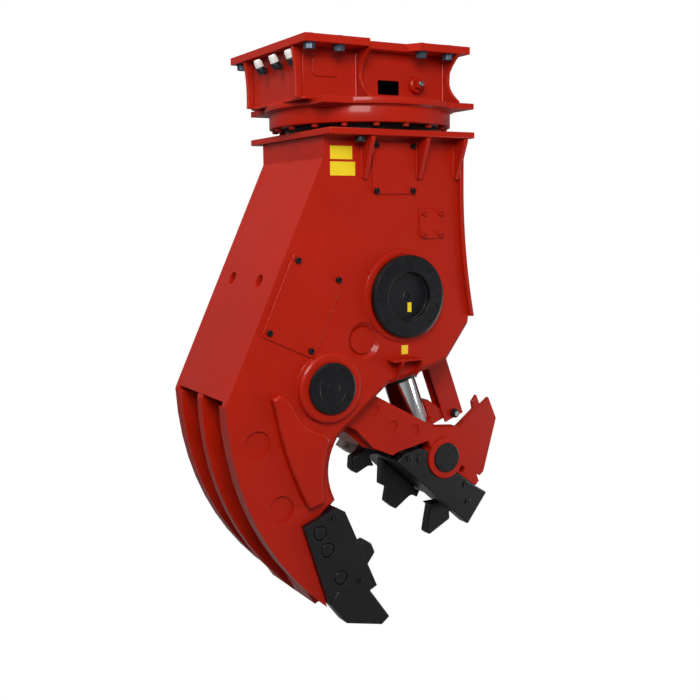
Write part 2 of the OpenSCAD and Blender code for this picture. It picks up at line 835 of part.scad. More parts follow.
// Shoes, teeth and tips bolted to the fixed jaw
shoe_proud = 30;
shoe_round_share = [-0.279, -1.973];
shoe_toe_shares = [[-0.122, -2.332], [-0.157, -2.348], [-0.317, -2.321], [-0.363, -2.372]];
module side_shoes() {
    outer = -side_face - shoe_proud;
    top_points = [shoe_back_share * reach, shoe_top_share * reach, shoe_round_share * reach];
    color("black") both_sides() difference() {
        slab(concat(top_points, shoe_toe_shares * reach), outer, -side_inner);
        for (spot = plug_shares)
            bar_y(spot * reach, plug_d / 2 + plug_gap, outer - cut_over, outer + plug_depth);
    }
}

plug_shares = [[-0.402, -2.048], [-0.367, -2.128], [-0.305, -2.262]];
plug_d = 56;
plug_gap = 4;
plug_depth = 20;
module shoe_plugs() {
    color("black") both_sides() for (spot = plug_shares)
        bar_y(spot * reach, plug_d / 2, -side_face - shoe_proud, -side_face - shoe_proud + plug_depth);
}

shoe_bolt_shares = [[-0.332, -1.993], [-0.207, -2.297]];
shoe_bolt_d = 26;
shoe_bolt_h = 8;
module shoe_bolts() {
    color("dimgray") both_sides() for (spot = shoe_bolt_shares)
        bar_y(spot * reach, shoe_bolt_d / 2, -side_face - shoe_proud - shoe_bolt_h, -side_face - shoe_proud);
}

shoe_tooth_shares = [
    [-0.2055, -2.140], [-0.165, -2.125], [-0.135, -2.146], [-0.118, -2.188], [-0.1605, -2.243]
];
shoe_tooth_out = 10;
module shoe_teeth() {
    color("black") both_sides() slab(shoe_tooth_shares * reach, -side_face - shoe_tooth_out, -side_inner);
}

tip_shares = [
    [-0.357, -2.372], [-0.317, -2.321], [-0.157, -2.348], [-0.057, -2.490], [-0.097, -2.520], [-0.277, -2.476]
];
module tip_teeth() {
    color("black") both_sides() slab(tip_shares * reach, -side_face - shoe_proud, -side_inner);
}

// Lift cylinder, with its lengths measured from the trunnions towards the rod pin
barrel_back = 235;
barrel_front = 400;
barrel_cap_t = 42;
gland_back = 330;
gland_front = 428;
gland_lip_d = 236;
port_boss_d = 60;
port_boss_h = 30;
module barrel() {
    color("firebrick") {
        along_cylinder() difference() {
            union() {
                translate([0, 0, -barrel_back]) cylinder(d = barrel_d, h = barrel_back + barrel_front);
                for (z = [-barrel_back + barrel_cap_t + port_boss_d, gland_back - port_boss_d])
                    translate([barrel_d / 2 - port_boss_h, 0, z]) rotate([0, 90, 0])
                        cylinder(d = port_boss_d, h = 2 * port_boss_h);
                rotate([90, 0, 0]) cylinder(d = trunnion_d, h = 2 * side_face, center = true);
            }
            translate([0, 0, -barrel_back + barrel_cap_t])
                cylinder(d = bore_d, h = barrel_back + barrel_front);
        }
    }
}

module gland() {
    color("dimgray") along_cylinder() difference() {
        union() {
            translate([0, 0, gland_back]) cylinder(r = bore_d / 2 - run_gap, h = gland_front - gland_back);
            translate([0, 0, barrel_front]) cylinder(d = gland_lip_d, h = gland_front - barrel_front);
        }
        translate([0, 0, gland_back - cut_over])
            cylinder(r = rod_d / 2 + run_gap, h = gland_front - gland_back + 2 * cut_over);
    }
}

// Piston, rod and rod eye; the eye has extra room round its pin, because the linkage opens there
piston_h = 90;
piston_from = 59;
eye_play = 19;
module piston_rod() {
    rod_h = rod_length - piston_from - rod_pin_d / 2 - eye_play;
    color("gainsboro") along_cylinder() difference() {
        union() {
            translate([0, 0, piston_from - piston_h]) cylinder(r = bore_d / 2 - run_gap, h = piston_h);
            translate([0, 0, piston_from]) cylinder(d = rod_d, h = rod_h);
            translate([0, 0, rod_length]) rotate([90, 0, 0]) cylinder(d = eye_d, h = eye_w, center = true);
        }
        translate([0, 0, rod_length]) rotate([90, 0, 0])
            cylinder(d = rod_pin_d + 2 * eye_play, h = eye_w + 2 * cut_over, center = true);
    }
}

// Clamp on the rod that carries the guard, with its lengths measured back from the rod pin
clamp_back = 144;
clamp_h = 43;
clamp_d = 186;
clamp_from = rod_length - clamp_back;
brace_back = 224;
brace_mid_back = 112;
brace_end_back = 96;
brace_off = 80;
brace_top = 102;
brace_mid = 182;
guard_off = 209;
guard_w = 112;
guard_half = 36;
guard_wall = 10;
guard_l = 308;
guard_back = 76;
guard_to = rod_length - guard_back;
guard_from = guard_to - guard_l;
guard_reach = guard_off + guard_w / 2 - guard_wall;
module rod_clamp() {
    color("firebrick") along_cylinder() difference() {
        union() {
            translate([0, 0, clamp_from]) cylinder(d = clamp_d, h = clamp_h);
            slab([
                [-brace_off, rod_length - brace_back], [-brace_top, rod_length - brace_back],
                [-brace_mid, rod_length - brace_mid_back], [-guard_reach, rod_length - brace_mid_back],
                [-guard_reach, rod_length - brace_end_back], [-brace_off, rod_length - brace_end_back]
            ], guard_wall - guard_half, guard_half - guard_wall);
        }
        translate([0, 0, clamp_from - cut_over]) cylinder(r = rod_d / 2 + run_gap, h = clamp_h + 2 * cut_over);
    }
}

// Channel guard beside the rod, open towards the rod
module rod_guard() {
    color("firebrick") along_cylinder() difference() {
        translate([-guard_off - guard_w / 2, -guard_half, guard_from])
            cube([guard_w, 2 * guard_half, guard_l]);
        translate([-guard_off - guard_w / 2 + guard_wall, -guard_half + guard_wall, guard_from - cut_over])
            cube([guard_w, 2 * guard_half - 2 * guard_wall, guard_l + 2 * cut_over]);
    }
}

guard_bolt_back = 98;
guard_bolt_off = 214;
guard_head_d = 26;
guard_head_h = 8;
guard_washer_d = 44;
guard_washer_h = 18;
module guard_bolt() {
    color("silver") along_cylinder()
    translate([-guard_bolt_off, -guard_half, rod_length - guard_bolt_back]) rotate([90, 0, 0]) {
        cylinder(d = guard_washer_d, h = guard_washer_h);
        translate([0, 0, guard_washer_h]) cylinder(d = guard_head_d, h = guard_head_h, $fn = 6);
    }
}

// Moving jaw
hub_share = 0.125;
jaw_ring_share = 0.098;
jaw_top_shares = [[-0.270, -1.386], [0.270, -1.687], [0.403, -1.700], [0.417, -1.710]];
jaw_end_shares = [
    [0.523, -1.977], [0.503, -1.997], [0.405, -1.925], [0.375, -1.900], [0.250, -1.800], [0.232, -1.745]
];
jaw_near_shares = [[0.063, -1.777], [0.038, -1.790], [-0.065, -1.743]];
jaw_far_shares = [
    [0.063, -1.777], [0.060, -1.850], [0.022, -1.852], [0.052, -1.812], [-0.003, -1.771], [-0.070, -1.735]
];
jaw_low_shares = [[-0.151, -1.651], [-0.395, -1.534]];
jaw_recess_shares = [[-0.057, -1.575], [0.040, -1.657], [0.157, -1.687]];
jaw_recess_d = 48;
jaw_recess_depth = 6;
jaw_ring_proud = 7;
jaw_hole_share = [0.423, -1.907];
jaw_hole_d = 34;
lower_plate_shares = [
    [-0.300, -1.592], [-0.165, -1.675], [-0.075, -1.752], [0.000, -1.778],
    [0.063, -1.797], [0.063, -1.768], [-0.283, -1.566]
];
eye_clear = 4;
jaw_clear_r = eye_d / 2 + eye_play + eye_clear;
module jaw_plate(under_shares) {
    outline = concat(jaw_top_shares, jaw_end_shares, under_shares, jaw_low_shares) * reach;
    difference() {
        union() {
            slab(outline, -jaw_face, -jaw_inner);
            bar_y(jaw_pivot, hub_share * reach, -jaw_face, -jaw_inner);
            bar_y(rod_pin_at, jaw_ring_share * reach, -jaw_face - jaw_ring_proud, -jaw_inner);
        }
        bar_y(rod_pin_at, rod_pin_d / 2 + run_gap, -jaw_face - 2 * jaw_ring_proud, -jaw_inner + cut_over);
        bar_y(jaw_pivot, jaw_pin_d / 2 + bush_wall, -jaw_face - cut_over, -jaw_inner + cut_over);
        bar_y(jaw_hole_share * reach, jaw_hole_d / 2, -jaw_face - cut_over, -jaw_inner + cut_over);
        for (spot = jaw_recess_shares)
            bar_y(spot * reach, jaw_recess_d / 2, -jaw_face - cut_over, -jaw_face + jaw_recess_depth);
        bar_y(rod_pin_at, rod_cap_d / 2, -jaw_face - 2 * jaw_ring_proud, -jaw_face);
    }
}

module jaw_frame() {
    color("firebrick") {
        jaw_plate(jaw_near_shares);
        mirror([0, 1, 0]) jaw_plate(jaw_far_shares);
        ring_y(jaw_pivot, hub_share * reach, jaw_pin_d / 2 + bush_wall, -jaw_inner, jaw_inner);
        slab(lower_plate_shares * reach, -jaw_inner, jaw_inner);
    }
}

module jaw_bushes() {
    outer = jaw_pin_d / 2 + bush_wall - run_gap;
    color("goldenrod") both_sides() ring_y(jaw_pivot, outer, jaw_pin_d / 2 + run_gap, -jaw_face, -jaw_face / 4);
}

module rod_pin() {
    color("silver") bar_y(rod_pin_at, rod_pin_d / 2, -jaw_face, jaw_face);
}

rod_cap_d = 140;
rod_cap_t = 13;
module rod_pin_caps() {
    color("black") both_sides() bar_y(rod_pin_at, rod_cap_d / 2 - run_gap, -jaw_face - rod_cap_t, -jaw_face);
}

// Plate across the back of the jaw and the two fins that stand on it
tail_shares = [[0.430, -1.762], [0.453, -1.752], [0.537, -1.957], [0.514, -1.967]];
tail_fin_shares = [
    [0.463, -1.775], [0.690, -1.608], [0.739, -1.719], [0.663, -1.981],
    [0.641, -2.000], [0.619, -1.990], [0.537, -1.957]
];
tail_hook_shares = [
    [0.481, -1.820], [0.530, -1.788], [0.672, -1.682], [0.665, -1.645], [0.692, -1.612], [0.739, -1.719],
    [0.663, -1.981], [0.641, -2.000], [0.619, -1.990], [0.537, -1.957]
];
tail_fin_from = 40;
tail_fin_t = 20;
module tail_plate() {
    color("firebrick") slab(tail_shares * reach, -jaw_inner, jaw_inner);
}

module tail_fins() {
    color("firebrick") {
        slab(tail_fin_shares * reach, -tail_fin_from - tail_fin_t, -tail_fin_from);
        slab(tail_hook_shares * reach, tail_fin_from, tail_fin_from + tail_fin_t);
    }
}

// Blade holders on the nose of the moving jaw
holder_top_shares = [[0.063, -1.823], [0.103, -1.792], [0.183, -1.775], [0.225, -1.792]];
holder_near_shares = [[0.405, -1.928], [0.503, -1.998], [0.570, -2.040], [0.460, -2.180]];
holder_far_shares = [[0.405, -1.928], [0.500, -1.998], [0.418, -2.077], [0.395, -2.121]];
holder_gap = 3;
holder_turn_from = 158;
holder_turn_to = 305;
function holder_outline(nose_shares) = concat(
    holder_top_shares * reach,
    arc_about(rod_pin_at, jaw_ring_share * reach + holder_gap, holder_turn_from, holder_turn_to),
    nose_shares * reach
);
module blade_holders() {
    color("black") {
        slab(holder_outline(holder_near_shares), -jaw_face, -jaw_inner);
        slab(holder_outline(holder_far_shares), jaw_inner, jaw_face);
    }
}

holder_bolt_shares = [[0.124, -1.817], [0.443, -1.983], [0.457, -2.070]];
holder_bolt_d = 28;
holder_bolt_h = 6;
holder_plug_share = [0.192, -1.828];
holder_plug_d = 46;
module holder_bolts() {
    color("dimgray") {
        for (spot = holder_bolt_shares)
            bar_y(spot * reach, holder_bolt_d / 2, -jaw_face - holder_bolt_h, -jaw_face);
        bar_y(holder_plug_share * reach, holder_plug_d / 2, -jaw_face - holder_bolt_h, -jaw_face);
    }
}

// Cutter with a round hole, in the notch under the far jaw plate
cutter_shares = [[-0.003, -1.771], [0.052, -1.812], [0.022, -1.852], [-0.033, -1.811]];
cutter_hole_share = [-0.004, -1.807];
cutter_hole_d = 22;
module cutter_block() {
    color("lightgray") difference() {
        slab(cutter_shares * reach, jaw_inner, jaw_face);
        bar_y(cutter_hole_share * reach, cutter_hole_d / 2, jaw_inner - cut_over, jaw_face + cut_over);
    }
}

// Base of the tooth row between the holders
base_shares = [
    [0.063, -1.780], [0.110, -1.790], [0.205, -1.815], [0.400, -1.930], [0.505, -1.985], [0.555, -2.040],
    [0.478, -2.142], [0.437, -2.105], [0.318, -1.998], [0.300, -2.036], [0.063, -1.823]
];
module tooth_base() {
    color("black") difference() {
        slab(base_shares * reach, -jaw_inner, jaw_inner);
        bar_y(rod_pin_at, jaw_clear_r, -jaw_inner - cut_over, jaw_inner + cut_over);
    }
}

tooth_1_shares = [
    [0.000, -1.778], [-0.012, -1.796], [-0.069, -1.822], [-0.074, -1.878], [-0.049, -1.902], [0.013, -1.874],
    [0.047, -1.878], [0.022, -1.834], [0.026, -1.822], [0.063, -1.822], [0.063, -1.797]
];
tooth_2_shares = [
    [0.094, -1.851], [0.088, -1.975], [0.130, -1.997], [0.116, -2.064], [0.165, -2.105],
    [0.245, -2.052], [0.291, -2.048], [0.270, -2.0095]
];
tooth_3_shares = [
    [0.349, -2.106], [0.368, -2.120], [0.343, -2.250], [0.360, -2.265],
    [0.481, -2.204], [0.478, -2.142], [0.437, -2.105]
];
module jaw_teeth() {
    color("black") for (shares = [tooth_1_shares, tooth_2_shares, tooth_3_shares])
        slab(shares * reach, -tooth_w / 2, tooth_w / 2);
}

mount_plate();
mount_bolts();
mount_box();
mount_gussets();
mount_cover();
mount_flange();
port_collars();
port_caps();
access_plug();
slew_motor();
slew_pinion();
swivel_housing();
drum_housing();
drum_bolts();
outer_race();
inner_race();
swivel_core();
top_plate();
top_plate_plug();
near_side_plate();
far_side_plate();
doublers();
back_plate();
front_plate();
top_ribs();
side_covers();
cover_bolts();
centre_fin();
cross_beams();
cheek_pads();
hose_brackets();
jaw_bosses();
jaw_pin();
jaw_pin_caps();
trunnion_bushes();
trunnion_bezels();
trunnion_caps();
cap_bolts();
side_shoes();
shoe_plugs();
shoe_bolts();
shoe_teeth();
tip_teeth();
barrel();
gland();
piston_rod();
rod_clamp();
rod_guard();
guard_bolt();
jaw_frame();
jaw_bushes();
rod_pin();
rod_pin_caps();
tail_plate();
tail_fins();
blade_holders();
holder_bolts();
cutter_block();
tooth_base();
jaw_teeth();
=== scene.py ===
"""Dressed model of a rotating concrete pulverizer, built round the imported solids."""
import json
import logging
import math
from dataclasses import dataclass
from enum import Enum
from typing import Iterable, Sequence

import bmesh
import bpy
import numpy as np
from mathutils import Matrix, Vector


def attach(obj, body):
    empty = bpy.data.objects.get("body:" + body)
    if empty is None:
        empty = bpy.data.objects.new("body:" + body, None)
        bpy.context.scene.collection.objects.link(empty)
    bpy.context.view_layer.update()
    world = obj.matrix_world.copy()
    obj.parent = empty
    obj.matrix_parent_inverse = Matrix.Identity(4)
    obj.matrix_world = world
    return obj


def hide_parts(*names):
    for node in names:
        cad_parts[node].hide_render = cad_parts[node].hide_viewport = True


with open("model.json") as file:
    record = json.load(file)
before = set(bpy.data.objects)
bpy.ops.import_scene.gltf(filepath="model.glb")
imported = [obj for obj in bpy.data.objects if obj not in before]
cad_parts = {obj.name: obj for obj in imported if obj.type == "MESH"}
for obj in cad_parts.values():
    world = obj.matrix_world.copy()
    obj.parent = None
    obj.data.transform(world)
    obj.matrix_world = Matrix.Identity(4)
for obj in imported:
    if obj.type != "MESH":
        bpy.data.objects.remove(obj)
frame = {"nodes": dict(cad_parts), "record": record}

MM = 0.001
log = logging.getLogger("pulverizer")
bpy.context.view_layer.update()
BODY_OF = {node: body for body, nodes in frame["record"]["behaviour"]["bodies"].items() for node in nodes}
Pair = tuple[float, float]
Triple = tuple[float, float, float]
Shape = tuple[np.ndarray, np.ndarray]
Tree = bpy.types.NodeTree
Socket = bpy.types.NodeSocket

# The two pivots of the body in the side view (x, z), and its half width over the side plates.
TRUNNION = (48.0, -1063.0)
JAW_PIVOT = (-335.0, -1431.0)
BODY_FACE = 290.0
# Points closer than these, in metres, are one: in a built piece, and in a copied solid.
POINT_DIST, WELD_DIST = 1e-6, 3e-5
# Bends, in degrees, above which a built piece, a turned lid and a weld bead stay sharp.
SHARP_DEG, LID_DEG, BEAD_DEG = 35.0, 8.0, 60.0
# Bends of a copied solid: flat up to FLAT_DEG, a step of a curved wall from STEP_DEG to ROUND_DEG and
# rounded above it. An edge is shaded sharp from CREASE_DEG and can get a chamfer above CUT_DEG.
FLAT_DEG, STEP_DEG, ROUND_DEG, CREASE_DEG, CUT_DEG = 0.4, 0.5, 28.0, 50.0, 60.0
# A facet narrower than this, in millimetres across its shallow bend, is a step of a curved wall.
CURVED_STEP = 30.0
# A weld bead has this many sides, and its radius swells by this share once a ripple.
BEAD_SIDES, RIPPLE_SHARE = 8, 0.14
# Nearly all values of Blender's noise lie between these.
NOISE_LOW, NOISE_HIGH = 0.3, 0.7
# Share of the white backdrop that glossy rays see, so that chrome isn't dark.
GLOSSY_SHARE = 0.12
WHITE = (1.0, 1.0, 1.0, 1.0)


def linear(hex_colour: str) -> tuple[float, float, float, float]:
    """Turns an sRGB hex colour into the linear colour that shaders use.

    Args:
        hex_colour: six hex digits, such as "b02012".

    Returns:
        Linear red, green, blue and an alpha of 1.
    """
    parts = np.array([int(hex_colour[i : i + 2], 16) for i in (0, 2, 4)]) / 255.0
    out = np.where(parts <= 0.04045, parts / 12.92, ((parts + 0.055) / 1.055) ** 2.4)
    return (float(out[0]), float(out[1]), float(out[2]), 1.0)


def add_node(tree: Tree, kind: str, inputs: dict | None = None, **settings) -> bpy.types.Node:
    """Adds one node, sets its properties and its sockets, and links what comes from other nodes.

    Args:
        tree: the node tree.
        kind: Blender's name of the node.
        inputs: socket name or number to a value, or to another node's output socket.
        **settings: properties of the node.

    Returns:
        The new node.
    """
    node = tree.nodes.new(kind)
    for key, value in settings.items():
        setattr(node, key, value)
    for key, value in (inputs or {}).items():
        if isinstance(value, Socket):
            tree.links.new(value, node.inputs[key])
        else:
            node.inputs[key].default_value = value
    return node


def linked(name: str, data: bpy.types.ID) -> bpy.types.Object:
    """Makes an object and links it to the scene.

    Args:
        name: name of the object.
        data: its mesh, camera or lamp.

    Returns:
        The object.
    """
    made = bpy.data.objects.new(name, data)
    bpy.context.scene.collection.objects.link(made)
    return made


@dataclass(frozen=True)
class Finish:
    """A real surface finish: its colour, gloss, and the size of its grain in millimetres."""

    slot: str
    tone: str
    metallic: float = 0.0
    roughness: float = 0.4
    coat: float = 0.0
    coat_roughness: float = 0.1
    specular: float = 0.5
    grain_mm: float = 3.0
    grain_depth_mm: float = 0.02
    patch_mm: float = 250.0
    patch_share: float = 0.06
    gloss_share: float = 0.15

    def noise(self, tree: Tree, where: Socket, size_mm: float, detail: float) -> Socket:
        """Plain noise, whose scale follows from the size because object units are metres.

        Args:
            tree: the material's node tree.
            where: coordinates.
            size_mm: size of the features in millimetres.
            detail: how many finer layers lie over it.

        Returns:
            A socket from 0 to 1.
        """
        inputs = {"Vector": where, "Scale": 1.0 / (size_mm * MM), "Detail": detail}
        return add_node(tree, "ShaderNodeTexNoise", inputs).outputs["Fac"]

    def colour(self, tree: Tree, where: Socket) -> Socket:
        """Base colour with broad patches a little lighter and darker.

        Args:
            tree: the material's node tree.
            where: object coordinates.

        Returns:
            The colour socket.
        """
        base = np.array(linear(self.tone))
        low, high = base * (1 - self.patch_share), base * (1 + self.patch_share)
        ramp = add_node(tree, "ShaderNodeValToRGB", {"Fac": self.noise(tree, where, self.patch_mm, 3.0)})
        for stop, place, tone in zip(ramp.color_ramp.elements, (NOISE_LOW, NOISE_HIGH), (low, high)):
            stop.position, stop.color = place, (*tone[:3], 1.0)
        return ramp.outputs["Color"]

    def height(self, tree: Tree, where: Socket) -> Socket:
        """Height of the surface grain as plain noise.

        Args:
            tree: the material's node tree.
            where: object coordinates.

        Returns:
            A socket from 0 to 1.
        """
        return self.noise(tree, where, self.grain_mm, 2.0)

    def build(self, name: str) -> bpy.types.Material:
        """Makes the material: patches of colour, uneven gloss and a fine bump.

        Args:
            name: name of the material.

        Returns:
            The material.
        """
        made = bpy.data.materials.new(name)
        made.use_nodes = True
        tree = made.node_tree
        tree.nodes.clear()
        where = add_node(tree, "ShaderNodeTexCoord").outputs["Object"]
        uneven = {
            "Value": self.noise(tree, where, self.patch_mm / 3, 4.0),
            "From Min": NOISE_LOW, "To Min": self.roughness * (1 - self.gloss_share),
            "From Max": NOISE_HIGH, "To Max": self.roughness * (1 + self.gloss_share),
        }
        rough = add_node(tree, "ShaderNodeMapRange", uneven)
        grain = {"Height": self.height(tree, where), "Distance": self.grain_depth_mm * MM, "Strength": 1.0}
        bump = add_node(tree, "ShaderNodeBump", grain)
        surface = {
            "Base Color": self.colour(tree, where), "Metallic": self.metallic,
            "Roughness": rough.outputs["Result"], "Specular IOR Level": self.specular,
            "Coat Weight": self.coat, "Coat Roughness": self.coat_roughness, "Normal": bump.outputs["Normal"],
        }
        shader = add_node(tree, "ShaderNodeBsdfPrincipled", surface)
        add_node(tree, "ShaderNodeOutputMaterial", {"Surface": shader.outputs["BSDF"]})
        return made


@dataclass(frozen=True)
class ForgedSteel(Finish):
    """Paint over a forging or a casting: soft pits about 14 mm wide show through it."""

    pit_mm: float = 14.0

    def height(self, tree: Tree, where: Socket) -> Socket:
        """Fine grain with soft pits between it.

        Args:
            tree: the material's node tree.
            where: object coordinates.

        Returns:
            A socket from 0 to 1.
        """
        fine = self.noise(tree, where, self.grain_mm, 3.0)
        pits = self.noise(tree, where, self.pit_mm, 1.0)
        both = add_node(tree, "ShaderNodeMath", {0: fine, 1: pits}, operation="ADD")
        return add_node(tree, "ShaderNodeMath", {0: both.outputs[0], 1: 0.5}, operation="MULTIPLY").outputs[0]


@dataclass(frozen=True)
class TurnedSteel(Finish):
    """Metal cut or ground on a machine: fine lines that run round or along the piece."""

    line_mm: float = 2.0

    def height(self, tree: Tree, where: Socket) -> Socket:
        """Grain stretched across the body, which leaves fine lines along the height.

        Args:
            tree: the material's node tree.
            where: object coordinates.

        Returns:
            A socket from 0 to 1.
        """
        squeezed = add_node(tree, "ShaderNodeMapping", {"Vector": where, "Scale": (1.0, 0.05, 1.0)})
        return self.noise(tree, squeezed.outputs["Vector"], self.line_mm, 2.0)


class Coat(Enum):
    """The finishes of this machine, each named for what it is on the real one."""

    # Two-pack enamel, sprayed: a soft sheen, and a slight orange peel about 5 mm wide.
    RED_ENAMEL = Finish(
        "red_paint", "b01d08", roughness=0.42, coat=0.25, coat_roughness=0.12, specular=0.12,
        grain_mm=5.0, grain_depth_mm=0.05, patch_share=0.05,
    )
    # Satin black paint on forged wear parts: the forging's pits break up its highlights.
    BLACK_FORGED = ForgedSteel(
        "black_steel", "0e1013", roughness=0.4, coat=0.25, coat_roughness=0.25, specular=0.3,
        grain_mm=4.0, grain_depth_mm=0.5,
    )
    # Satin black paint on turned covers: smooth, with one faint broad highlight.
    BLACK_COVER = Finish("black_cap", "0d0f12", roughness=0.38, coat=0.06, specular=0.3, grain_depth_mm=0.03)
    # Zinc plated bolts: blue-grey with a soft sheen.
    ZINC = TurnedSteel(
        "zinc_bolt", "4d5a6b", metallic=0.6, roughness=0.45, grain_depth_mm=0.04, patch_mm=20.0,
    )
    # Hard chrome on the rod: bright, and it gives back the pale room as a soft band.
    CHROME = TurnedSteel(
        "chrome", "d2d5d8", metallic=1.0, roughness=0.5, grain_depth_mm=0.002, patch_share=0.03,
    )
    # Machined steel pins and rings: grey sheen with fine tool marks.
    STEEL = TurnedSteel("bare_steel", "9c9c9a", metallic=1.0, roughness=0.34, patch_mm=60.0)
    # Bearing rings: dulled by grease, and darkened with painted shade for the dark gap under the drum where
    # they sit.
    GREASED = TurnedSteel("bare_steel", "3b3836", metallic=0.7, roughness=0.5, patch_mm=60.0)
    # Bearing bronze: a warm sheen.
    BRONZE = TurnedSteel("bronze", "a9793a", metallic=1.0, roughness=0.35, patch_mm=60.0)
    # Painted iron castings: dull, with the grain of the sand mould.
    DARK_IRON = ForgedSteel("dark_cast", "16181b", roughness=0.5, grain_depth_mm=0.3)
    # Moulded polyethylene transport caps: waxy white.
    WHITE_CAP = Finish("white_plastic", "ecebe4", roughness=0.38, grain_mm=2.0, patch_mm=30.0)
    # Plain printed film on the body: matt yellow vinyl.
    YELLOW_FILM = Finish(
        "white_plastic", "f2d414", roughness=0.5, grain_mm=2.0, grain_depth_mm=0.01, patch_share=0.02,
    )
    # Ground carbide-faced cutter: pale, with a dull sheen.
    GROUND = TurnedSteel(
        "pale_steel", "dddcd6", metallic=0.2, roughness=0.4, grain_depth_mm=0.03, patch_mm=20.0,
    )

    @property
    def material(self) -> bpy.types.Material:
        """The Blender material of this finish, made once."""
        return bpy.data.materials.get(self.name.lower()) or self.value.build(self.name.lower())


def backdrop_share(tree: Tree) -> Socket:
    """How much of the white backdrop a ray sees: all for the camera and through glass, a part for gloss.

    Args:
        tree: node tree of the floor or the world.

    Returns:
        A socket from 0 to 1.
    """
    paths = add_node(tree, "ShaderNodeLightPath")
    through = {0: paths.outputs["Is Camera Ray"], 1: paths.outputs["Is Transmission Ray"]}
    straight = add_node(tree, "ShaderNodeMath", through, operation="ADD")
    mixed = {0: paths.outputs["Is Glossy Ray"], 1: GLOSSY_SHARE, 2: straight.outputs[0]}
    return add_node(tree, "ShaderNodeMath", mixed, operation="MULTIPLY_ADD").outputs[0]


def tube_faces(rings: int, sides: int) -> np.ndarray:
    """Quads between rings of points, numbered ring by ring.

    Args:
        rings: number of rings.
        sides: points in a ring.

    Returns:
        One quad a line.
    """
    i, j = np.meshgrid(np.arange(rings - 1), np.arange(sides), indexing="ij")
    here, beside = i * sides + j, i * sides + (j + 1) % sides
    return np.stack([here, beside, beside + sides, here + sides], -1).reshape(-1, 4)


def turned(profile: Sequence[Pair], sides: int, flats: Iterable[int] = ()) -> Shape:
    """A closed solid of revolution about Z: each profile point (radius, height) becomes a ring.

    The points run from the axis at the foot, out and up, to the axis at the top. A ring listed in
    flats is six-sided: its radius is cos(30) / cos(angle to the middle of its flat) of the written one.

    Args:
        profile: radius and height in millimetres.
        sides: points in a ring, a multiple of 6 where flats are used.
        flats: numbers of the six-sided rings.

    Returns:
        Points and quads.
    """
    spec = np.array(profile, float)
    turn = np.arange(sides) / sides * 2 * math.pi
    rim = np.ones((len(spec), sides))
    off = (turn + math.pi / 6) % (math.pi / 3) - math.pi / 6
    for k in flats:
        rim[k] = math.cos(math.pi / 6) / np.cos(off)
    r = spec[:, :1] * rim
    pts = np.stack([r * np.cos(turn), r * np.sin(turn), np.broadcast_to(spec[:, 1:], r.shape)], -1)
    return pts.reshape(-1, 3), tube_faces(len(spec), sides)


def facing(origin: Sequence[float], axis: Sequence[float], spin: float = 0.0) -> np.ndarray:
    """A frame at origin with Z along axis, turned about it by spin degrees.

    Args:
        origin: place in millimetres.
        axis: direction of Z.
        spin: turn about the axis in degrees.

    Returns:
        A 4 x 4 matrix.
    """
    turn = Vector(axis).to_track_quat("Z", "Y").to_matrix().to_4x4()
    return np.array(Matrix.Translation(Vector(origin)) @ turn @ Matrix.Rotation(math.radians(spin), 4, "Z"))


class Build:
    """Gathers points and faces in millimetres and turns them into one piece."""

    def __init__(self, name: str, body: str, coat: Coat) -> None:
        """Starts an empty piece that will ride on a body."""
        self.name, self.body, self.coat = name, body, coat
        self.points: list[np.ndarray] = []
        self.faces: list[list[int]] = []
        self.count = 0

    def add(self, shape: Shape, places: Iterable[np.ndarray] = (np.eye(4),)) -> "Build":
        """Adds a shape once at each place.

        Args:
            shape: points and faces.
            places: 4 x 4 matrices.

        Returns:
            This build, so that calls can be chained.
        """
        pts, faces = shape
        flat = np.c_[pts, np.ones(len(pts))]
        for place in places:
            self.points.append((flat @ place.T)[:, :3])
            self.faces += (np.asarray(faces) + self.count).tolist()
            self.count += len(pts)
        return self

    def finish(self, sharp_deg: float = SHARP_DEG, replaces: Sequence[str] = ()) -> bpy.types.Object:
        """Writes the mesh, joins doubled points, turns the faces outwards and dresses the piece.

        Args:
            sharp_deg: edges bent more than this stay sharp.
            replaces: CAD nodes that this piece stands for.

        Returns:
            The object.
        """
        mesh = bpy.data.meshes.new(self.name)
        mesh.from_pydata((np.concatenate(self.points) * MM).tolist(), [], self.faces)
        work = bmesh.new()
        work.from_mesh(mesh)
        bmesh.ops.remove_doubles(work, verts=work.verts, dist=POINT_DIST)
        bmesh.ops.dissolve_degenerate(work, edges=work.edges, dist=POINT_DIST)
        bmesh.ops.recalc_face_normals(work, faces=work.faces)
        work.to_mesh(mesh)
        work.free()
        piece = linked(self.name, mesh)
        return dress(piece, self.body, self.coat, sharp_deg, replaces)


def dress(
    piece: bpy.types.Object, body: str, coat: Coat, sharp_deg: float = SHARP_DEG,
    replaces: Sequence[str] = (), smooth: bool = True,
) -> bpy.types.Object:
    """Gives a piece its finish and its shading, and lets it ride on its body.

    Args:
        piece: the object.
        body: CAD body that carries it.
        coat: its finish.
        sharp_deg: edges bent more than this stay sharp.
        replaces: CAD nodes that it stands for.
        smooth: every face is smooth. Otherwise faces and edges keep their own settings.

    Returns:
        The same object.
    """
    piece.data.materials.clear()
    piece.data.materials.append(coat.material)
    if smooth:
        piece.data.shade_smooth()
        piece.data.set_sharp_from_angle(angle=math.radians(sharp_deg))
    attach(piece, body)
    if replaces:
        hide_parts(*replaces)
    log.info("%s on %s, %d faces", piece.name, body, len(piece.data.polygons))
    return piece


@dataclass(frozen=True)
class Cut:
    """A stretch of edges that gets a wide chamfer: those whose middle lies in a box."""

    low: Triple
    high: Triple
    width: float


